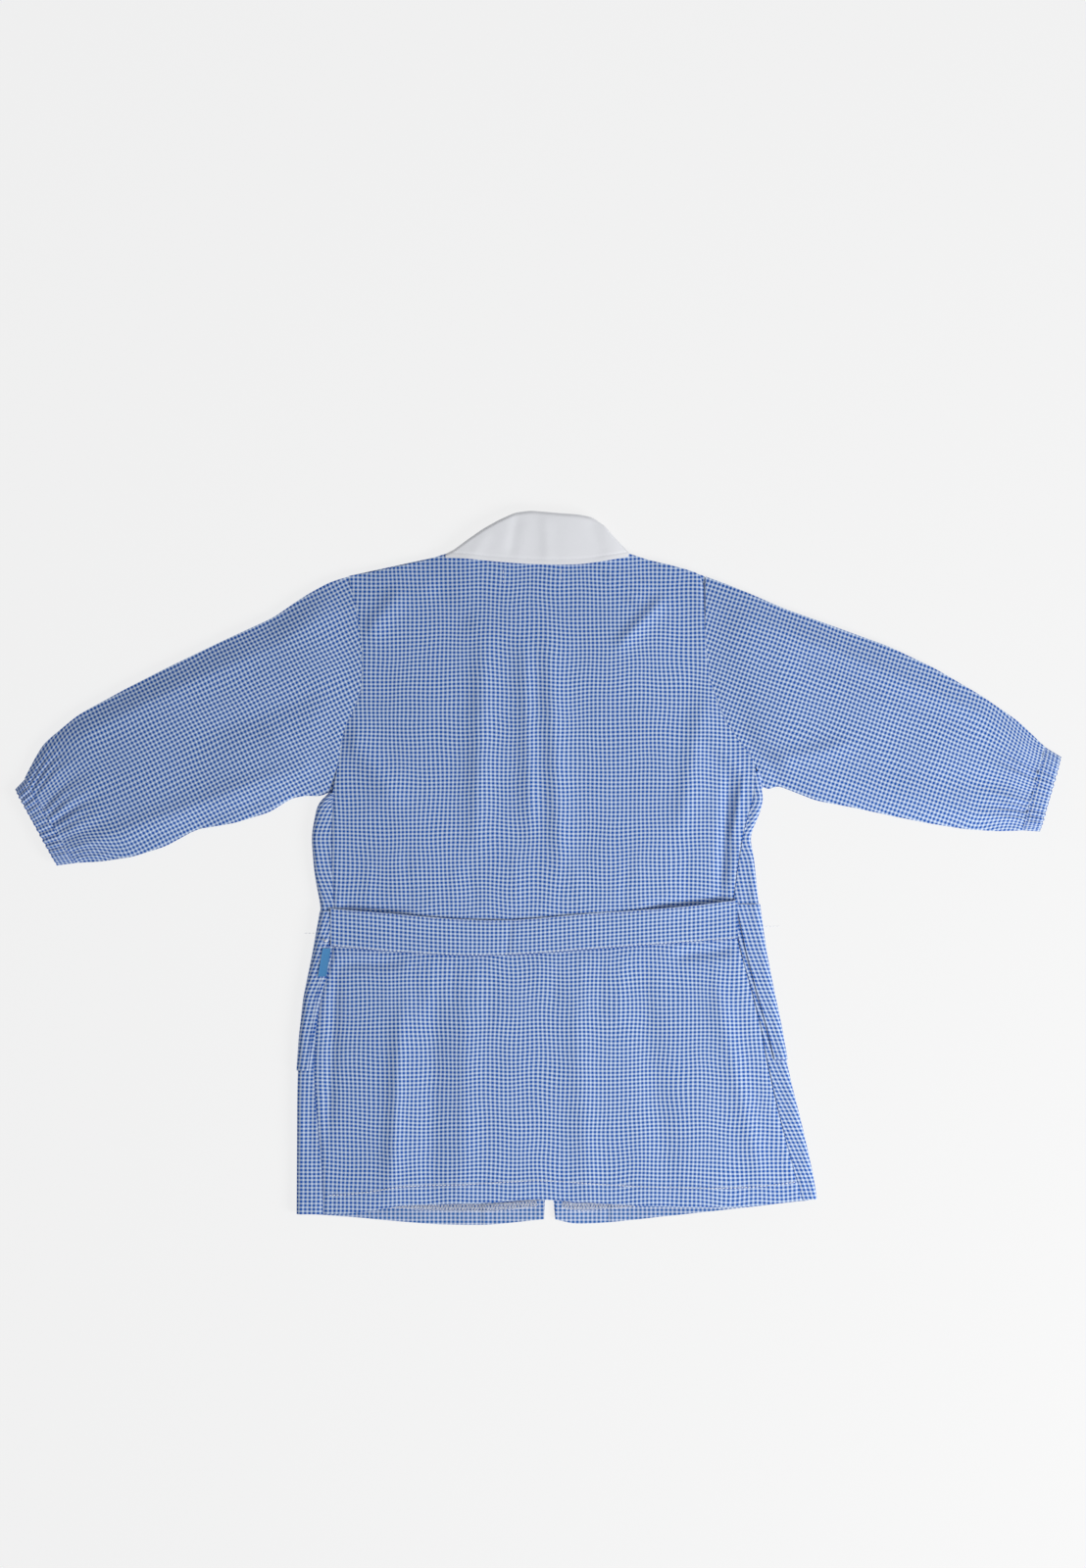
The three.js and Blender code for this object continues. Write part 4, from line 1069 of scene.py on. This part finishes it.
# %% Facings
HEM_ROWS = 10
for side, k in (("left", -1), ("right", 1)):
    solid = Solid("facing_" + side)
    y = np.linspace(solid.points[:, 1].min() + 0.3 * MM, solid.points[:, 1].max() - 0.3 * MM, 200)
    low, high = (soften(v, 2) for v in solid.span(y, 1))
    u = np.linspace(0, 1, 26)
    px = low[:, None] * (1 - u) + high[:, None] * u
    py = np.repeat(y[:, None], 26, 1)
    z = settle(solid.height(px, py), 2, 2) - CLOTH / 2 - 0.1 * MM
    raw = (1 - u) if k < 0 else u
    curl = 0.35 * waves(px, py, 50, 90, 71 + k) * raw[None]
    z = z + (curl + 0.2 * ripple(py, 11, 1.0) * raw[None] ** 3) * MM
    points = np.dstack([px, py, z])
    chart = np.dstack([px, py]) + np.dstack([0.3 * MM * waves(px, py, 90, 120, 72), 0 * px])
    facing = cloth("facing_" + side + "_strip", points, chart, CLOTH, gingham_inside)
    keep(facing, node="facing_" + side)
    raw_line = points[:, 0 if k < 0 else -1] + np.array([-k * 1.6 * MM, 0, CLOTH * 0.6])
    keep(overlock("facing_" + side + "_overlock", raw_line))
    # the hem is turned up over the end of the facing
    grid = front_grids[side]
    turned = grid[:HEM_ROWS].copy()
    depth = np.linspace(0.2 * MM, HEM, HEM_ROWS)[:, None]
    turned[..., 0] = grid[0, :, 0][None]
    turned[..., 1] = grid[0, :, 1][None] + depth
    lifted = Surface(grid, points).at(turned[..., :2].reshape(-1, 2), CLOTH + 0.15 * MM).reshape(turned.shape)
    lifted[..., 2] = soften(lifted[..., 2], 3, 1) + 0.15 * MM * ripple(lifted[..., 0], 8, 2.0)
    facing_x = -50 * MM if k < 0 else 65 * MM
    on_facing = smooth(lifted[..., 0] - facing_x, -0.9 * MM, 0.9 * MM)
    lifted[..., 2] += 0.7 * MM * on_facing
    flat = np.dstack([lifted[..., 0], -lifted[..., 1]]) + np.array([0.9 * MM, 0.3 * MM])
    flat[..., 0] += 1.0 * MM * on_facing
    hem_turn = cloth("front_" + side + "_hem_turn", lifted, flat, CLOTH, gingham_inside)
    row = lifted[-1, 3:-3]
    edge = np.stack([row[:, 0], row[:, 1] - 2.0 * MM, row[:, 2] + CLOTH / 2 + 0.1 * MM], 1)
    keep(hem_turn)
    keep(overlock("front_" + side + "_hem_overlock", edge, width=5.2))
    seam("front_" + side + "_hem_stitches_turn", lifted[6, 3:-3] + np.array([0, 0, CLOTH / 2]),
         stitch=2.6, gap=0.7, thick=0.3, lift=0.1)

# %% Pockets
MOUTH = 20 * MM  # depth of the turned top edge
for side, k, over_y in (("left", -1, (-0.1797, -0.0375)), ("right", 1, (-0.170, -0.0314))):
    solid = Solid("pocket_" + side)
    near = 0 if k < 0 else 1
    y = np.linspace(over_y[0] + 0.3 * MM, over_y[1] - 0.3 * MM, 90)
    x_out = soften(reach(solid, y, 1, near), 2)
    inner = soften(reach(solid, y, 1, 1 - near), 2)
    u = np.linspace(0, 1, 72)
    edge = x_out - k * 6.0 * MM
    px = inner[:, None] * (1 - u) + edge[:, None] * u
    if k < 0:
        px = px[:, ::-1]
    py = np.repeat(y[:, None], 72, 1)
    z = settle(solid.height(px, py, under=True), 2, 2) + CLOTH / 2 + 0.1 * MM
    mouth = turned_hem(over_y[1] - py, px, 0.35, hem=MOUTH, seed=3.0)
    z = z + np.maximum(0.2 * MM * waves(px, py, 60, 70, 81) - 0.4 * mouth, -0.3 * MM)
    points = np.dstack([px, py, np.maximum(z, 0.3 * MM)])
    chart = np.dstack([px, py]) + np.array([1.9 * MM, 1.1 * MM])
    pocket = cloth("pocket_" + side + "_patch", points, chart, CLOTH, gingham)
    strip_in = np.interp(y, [over_y[0], over_y[1]], [11.5 * MM, 21.0 * MM] if k > 0 else [10.5 * MM, 14.0 * MM])
    strip, strip_points = side_strip("pocket_" + side + "_side", x_out + k * 0.1 * MM, y, k, strip_in,
                                     0.55 * MM, 10.9 * MM, gingham, chart_shift=1.9 * MM)
    for piece, grid, node in ((pocket, points, "pocket_" + side), (strip, strip_points, None)):
        keep(piece, node=node)
    surface = Surface(points)
    rim = 2.2 * MM
    ys = np.linspace(y[0] + rim, y[-1] - 0.5 * MM, 60)
    inner_line = np.stack([np.interp(ys, y, inner) + k * rim, ys], 1)
    xs = np.linspace(inner[0] + k * rim, edge[0], 60)
    lines = {"inner": inner_line, "bottom": np.stack([xs, np.full(60, y[0] + rim)], 1),
             "mouth": np.stack([xs, np.full(60, y[-1] - MOUTH)], 1)}
    for tag, line in lines.items():
        line = surface.at(line, -CLOTH / 2, under=True)
        seam("pocket_" + side + "_stitches_" + tag, line, stitch=2.4, gap=0.8)

# %% [markdown]
# ## Buttons
# Five flat shirt buttons close the front. A shirt button is pressed or turned from plastic: a disc with a
# raised rim, a shallow dish and four holes, sewn on with a cross of thread. They sit on the outside of
# the fronts, which is underneath here, and each has a stitched buttonhole behind it.

# %% Turning a solid
def lathe(name, profile, segments, look):
    """A closed solid of revolution; the profile runs from the axis, round the outside, to the axis."""
    angle = np.arange(segments) / segments * 2 * math.pi
    points = [(0, 0, profile[0][1])]
    for r, z in profile[1:-1]:
        points += [(r * math.cos(a), r * math.sin(a), z) for a in angle]
    points.append((0, 0, profile[-1][1]))
    faces = [(0, 1 + (s + 1) % segments, 1 + s) for s in range(segments)]
    for ring_at in range(len(profile) - 3):
        base = 1 + ring_at * segments
        for s in range(segments):
            n = (s + 1) % segments
            faces.append((base + s, base + n, base + segments + n, base + segments + s))
    base = 1 + (len(profile) - 3) * segments
    faces += [(len(points) - 1, base + s, base + (s + 1) % segments) for s in range(segments)]
    mesh = bpy.data.meshes.new(name)
    mesh.from_pydata(points, [], faces)
    mesh.materials.append(look)
    return mesh


# %% Drilling
def drilled(mesh, holes, radius):
    """The same solid with round holes right through it."""
    body = link("blank", mesh)
    drills = []
    for x, y in holes:
        profile = [(0, -4 * MM), (radius, -4 * MM), (radius, 4 * MM), (0, 4 * MM)]
        drill = link("drill", lathe("drill", profile, 20, button_white))
        drill.location = (x, y, 0)
        cut = body.modifiers.new("cut", "BOOLEAN")
        cut.operation, cut.object, cut.solver = "DIFFERENCE", drill, "EXACT"
        drills.append(drill)
    bpy.context.view_layer.update()
    done = bpy.data.meshes.new_from_object(body.evaluated_get(bpy.context.evaluated_depsgraph_get()))
    for item in drills + [body]:
        bpy.data.objects.remove(item)
    return done


# %% One button mesh
button_profile = [(0, -1.1), (4.2, -1.1), (5.6, -0.85), (6.2, -0.3), (6.25, 0.2), (6.0, 0.75), (5.5, 1.0),
                  (5.0, 0.98), (4.5, 0.72), (4.0, 0.45), (3.2, 0.32), (0, 0.3)]
HOLE_OFF, HOLE_RADIUS = 1.25 * MM, 0.55 * MM
SLIT = 7.3  # half the length of a buttonhole in mm
BUTTONHOLE_Z = 2.35 * MM
button_holes = [(sx * HOLE_OFF, sy * HOLE_OFF) for sx in (-1, 1) for sy in (-1, 1)]
button_blank = lathe("button", [(r * MM, z * MM) for r, z in button_profile], 64, button_white)
button_mesh = drilled(button_blank, button_holes, HOLE_RADIUS)

# %% Buttons and buttonholes
for number in range(1, 6):
    low, high = (np.array(c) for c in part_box("button_%d" % number))
    middle = (low + high) / 2
    mesh = button_mesh.copy()
    turned = 0.4 * number
    face = low[2] + 1.15 * MM
    for vertex in mesh.vertices:
        x, y, z = vertex.co
        c, s = math.cos(turned), math.sin(turned)
        vertex.co = (middle[0] + c * x - s * y, middle[1] + s * x + c * y, face - z)
    mesh.flip_normals()
    mesh.polygons.foreach_set("use_smooth", np.ones(len(mesh.polygons), bool))
    mesh.set_sharp_from_angle(angle=math.radians(40))
    keep(link("button_%d_disc" % number, mesh), node="button_%d" % number)
    spots = [np.array([middle[0] + c * x - s * y, middle[1] + s * x + c * y]) for x, y in button_holes]
    starts, ends = [], []
    for a, b in ((0, 3), (1, 2)):
        for off in (-0.16, 0.0, 0.16):
            shift = np.array([off * MM, -off * MM * (1 if a == 0 else -1)])
            starts.append(np.r_[spots[a] + shift, face - 0.75 * MM])
            ends.append(np.r_[spots[b] + shift, face - 0.75 * MM])
    cross = spindles("button_%d_thread" % number, np.array(starts), np.array(ends), 0.17 * MM, thread_white)
    tops = np.array([np.r_[spot, face - 1.0 * MM] for spot in spots])
    feet = np.array([np.r_[spot * 0.5 + middle[:2] * 0.5, high[2]] for spot in spots])
    legs = spindles("button_%d_shank" % number, tops, feet, 0.3 * MM, thread_white)
    bars = []
    for step in np.linspace(-SLIT, SLIT, 34):
        for sign in (-1, 1):
            bars.append((sign * 1.45, step, sign * 2.9, step))
    for step in np.linspace(-2.4, 2.4, 9):
        bars += [(step, -7.4, step, -9.2), (step, 7.4, step, 9.2)]
    bars = np.array(bars) * MM
    start, end = (np.column_stack([middle[:2] + bars[:, at : at + 2], np.full(len(bars), BUTTONHOLE_Z)])
                  for at in (0, 2))
    hole = spindles("buttonhole_%d_stitches" % number, start, end, 0.19 * MM, thread_white)
    for piece in (cross, legs, hole):
        keep(piece)

# %% [markdown]
# ## The half-belt
# The belt is a strip folded double along its length, turned in and edge-stitched. It is only sewn in at
# its two ends, so it stands a little off the back and the back tucks in behind it.

# %% Between two edges
def between(stations, low, high, rows):
    """Rows of plan points from a low edge to a high edge, and how far up each row lies from 0 to 1."""
    u = np.linspace(0, 1, rows)[:, None]
    return u, np.repeat(stations[None], rows, 0), low[None] * (1 - u) + high[None] * u


def inset_line(points, low, high, cols, least, lift, from_high=False):
    """A line on a grid that keeps the stitching's distance from its low or its high edge."""
    last = len(points) - 1
    line = []
    for col in cols:
        tall = high[col] - low[col]
        if tall > least:
            row = (1 - TOPSTITCH / tall if from_high else TOPSTITCH / tall) * last
            k = int(row)
            point = points[k, col] * (1 - row + k) + points[min(k + 1, last), col] * (row - k)
            line.append(point + np.array([0, 0, lift]))
    return np.array(line)


# %% Belt
BELT_ROWS = 34
belt_solid = Solid("back_belt")
bx0, bx1 = belt_solid.points[:, 0].min() + 0.5 * MM, belt_solid.points[:, 0].max() - 0.5 * MM
belt_x = np.linspace(bx0, bx1, 260)
inside_x = np.clip(belt_x, bx0 + 7 * MM, bx1 - 7 * MM)
belt_low, belt_high = (soften(v, 3) for v in belt_solid.span(inside_x, 0))
for edge in (belt_low, belt_high):
    slope = np.gradient(edge, belt_x)
    edge += (belt_x - inside_x) * np.where(belt_x < inside_x, slope[12], slope[-12])
u, px, py = between(belt_x, belt_low, belt_high, BELT_ROWS)
middle_y = (belt_low + belt_high)[None] / 2
z = belt_solid.height(inside_x[None] + 0 * px, middle_y + (py - middle_y) * 0.8)
z = settle(z, 3, 5) - 0.45 * MM
at_stitches = bell(u - 0.09, 0.1) + bell(u - 0.93, 0.1)
z = z + (0.3 * waves(px, py, 90, 60, 91) + 0.12 * ripple(px, 7, 4.0) * at_stitches) * MM
z = z - (0.22 * bell(u - 0.05, 0.03) + 0.12 * bell(u - 0.95, 0.03)) * MM
off_middle = np.abs(px)
stands_off = smooth(off_middle, 60 * MM, 130 * MM) - 0.8 * smooth(off_middle, 150 * MM, 180 * MM)
z = z + 1.6 * MM * smooth(u, 0.55, 1.0) * stands_off
z = z + fold(px, py, (-30, -80), (-24, -40), 3.5, -0.6, 0.5)
belt_points = np.dstack([px, py, z])
belt_chart = np.dstack([px, (u - 0.5) * 33 * MM + 0 * px])
drift = [0.3 * MM * waves(px, py, long_x, 60, seed) for long_x, seed in ((120, 92), (140, 93))]
belt_chart = belt_chart + np.dstack(drift)
belt = cloth("belt", belt_points, belt_chart, 0.9 * MM, gingham_belt)
keep(belt, node="back_belt")
for tag, row, thick in (("low", 1, 0.32), ("high", BELT_ROWS - 2, 0.16)):
    line = belt_points[row, 2:-2] + np.array([0, 0, 0.42 * MM])
    seam("belt_stitches_" + tag, line, stitch=2.4, gap=0.9, thick=thick, lift=0.05)

# %% [markdown]
# ## The collar
# A shirt collar has a stand sewn to the neckline and a fall that turns down over it. From behind only the
# fall shows: firm white cotton with a rolled fold along the top and a line of topstitching near its edge.
# Its two long points, the leaves, lie under the fronts.

# %% Collar fall
TOPSTITCH = 4.5 * MM
fall_solid = Solid("collar_fall")
cx0, cx1 = fall_solid.points[:, 0].min() + 0.4 * MM, fall_solid.points[:, 0].max() - 0.4 * MM
t = np.linspace(0, 1, 170)
fall_x = cx0 + (cx1 - cx0) * (0.5 - 0.5 * np.cos(math.pi * t)) * 0.35 + (cx1 - cx0) * t * 0.65
fall_low = soften(reach(fall_solid, fall_x, 0, 0), 3)
fall_high = soften(reach(fall_solid, fall_x, 0, 1), 2)
u, px, py = between(fall_x, fall_low, fall_high, 46)
wide = (fall_high - fall_low)[None]
z = settle(fall_solid.height(px, py * 0.97 + 0.03 * (fall_low + fall_high)[None] / 2), 3, 4) - 0.4 * MM
from_fold = (1 - u) * wide
z = z - 1.5 * MM * (1 - smooth(from_fold, 0, 3.2 * MM)) ** 2
z = z + (0.35 * waves(px, py, 70, 60, 101) * smooth(wide, 2 * MM, 20 * MM)) * MM
z = z + fold(px, py, (-17, 316), (-24, 276), 6, -0.8, 0.2) + fold(px, py, (7, 314), (10, 272), 6, 0.6, 0.2)
z = z + fold(px, py, (46, 311), (58, 276), 7, -0.5, 0.0) + fold(px, py, (-44, 300), (-58, 278), 6, 0.5, 0.0)
z = z - 0.25 * MM * bell((u * wide) - TOPSTITCH, 0.9 * MM)
fall_points = np.dstack([px, py, z])
fall = cloth("collar_fall_cloth", fall_points, np.dstack([px, py]), 0.8 * MM, collar_white)
keep(fall, "back_collar", "collar_fall")
seam("collar_stitches", inset_line(fall_points, fall_low, fall_high, range(8, 162), 10 * MM, 0.38 * MM),
     stitch=2.2, gap=0.8, thick=0.15, body="back_collar")

# %% Collar stand and leaves
stand_solid = Solid("collar_stand")
sx = np.linspace(stand_solid.points[:, 0].min() + 0.5 * MM, stand_solid.points[:, 0].max() - 0.5 * MM, 90)
low, high = (soften(reach(stand_solid, sx, 0, w), 2) for w in (0, 1))
u, px, py = between(sx, low, high, 22)
z = 9.5 * MM + 0.15 * MM * waves(px, py, 50, 40, 111)
stand_points = np.dstack([px, py, z])
stand = cloth("collar_stand_cloth", stand_points, np.dstack([px, py]), 0.6 * MM, collar_white)
keep(stand, "back_collar", "collar_stand")

for side in ("left", "right"):
    solid = Solid("collar_leaf_" + side)
    lx = np.linspace(solid.points[:, 0].min() + 0.5 * MM, solid.points[:, 0].max() - 0.5 * MM, 96)
    low, high = (soften(reach(solid, lx, 0, w), 1) for w in (0, 1))
    u, px, py = between(lx, low, high, 54)
    z = settle(solid.height(px, py, under=True), 3, 3) + 0.4 * MM
    z = z + np.maximum(0.2 * MM * waves(px, py, 50, 60, 121), -0.1 * MM)
    rim = np.minimum(u, 1 - u) * (high - low)[None]
    z = z + 0.2 * MM * bell(rim - TOPSTITCH, 0.8 * MM)
    points = np.dstack([px, py, z])
    leaf = cloth("collar_leaf_" + side + "_cloth", points, np.dstack([px, py]), 0.75 * MM, collar_white)
    keep(leaf, node="collar_leaf_" + side)
    for tag in ("low", "high"):
        line = inset_line(points, low, high, range(10, 86), 12 * MM, -0.34 * MM, from_high=tag == "high")
        seam("collar_leaf_%s_stitches_%s" % (side, tag), line, stitch=2.2, gap=0.8, thick=0.15)

# %% [markdown]
# ## The side tab
# A short loop of blue tape is caught in the side seam below the belt. It is woven much closer than the
# checked cloth and has a firm edge on both sides. It is left plain. A knot of white thread holds the seam
# above it.

# %% Tab
tab_solid = Solid("label_tab")
tab_top = (corner(tab_solid, -1, 1.2), corner(tab_solid, 1, 0.6))
tab_low = (corner(tab_solid, -1, -0.6), corner(tab_solid, 1, -1.2))
v = np.linspace(0, 1, 40)[:, None, None]
u = np.linspace(0, 1, 18)[None, :, None]
plan = (tab_low[0] * (1 - u) + tab_low[1] * u) * (1 - v) + (tab_top[0] * (1 - u) + tab_top[1] * u) * v
flat_u = u[..., 0] + 0 * v[..., 0]
flat_v = v[..., 0] + 0 * u[..., 0]
z = 11.75 * MM + (0.25 * bell(1 - flat_v, 0.1) + 0.35 * (1 - flat_v) ** 3 * (flat_u - 0.3)) * MM
z = z + 0.18 * MM * (bell(flat_u, 0.07) + bell(1 - flat_u, 0.07))
tab_points = np.dstack([plan, z])
tab_chart = np.dstack([flat_u * 7.4 * MM, flat_v * 25 * MM])
tab = cloth("tab_front", tab_points, tab_chart, 0.35 * MM, tab_blue)
under = tab_points[::-1].copy()
under[..., 2] -= 0.42 * MM
lower = cloth("tab_back", under, tab_chart, 0.3 * MM, tab_blue)
keep(tab, "tab", "label_tab")
keep(lower, "tab")

# %% Knot
knot_at = np.array([-0.1872, -0.0640, 0.0142])
knot_from = ((-2.4, 0.6, 0), (-1.5, -1.0, 0.1), (-2.8, -0.4, 0.2), (-0.6, 0.9, 0.1))
knot_to = ((1.2, -0.4, 0.2), (0.6, 1.4, 0.3), (0.2, 0.2, 0.5), (-1.8, -0.9, 0.3))
starts, ends = (knot_at + np.array(places) * MM for places in (knot_from, knot_to))
keep(spindles("tab_knot", starts, ends, 0.6 * MM, thread_white))

# %% [markdown]
# ## Size and finish
# The finished cloth should fill the same box as the imported model. Both sizes are printed so they can be
# compared.

# %% Size
low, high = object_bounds()
sizes = [np.round(np.array(b - a) / MM, 1) for a, b in ((cad_low, cad_high), (low, high))]
print("cad mm", sizes[0], "finished mm", sizes[1])
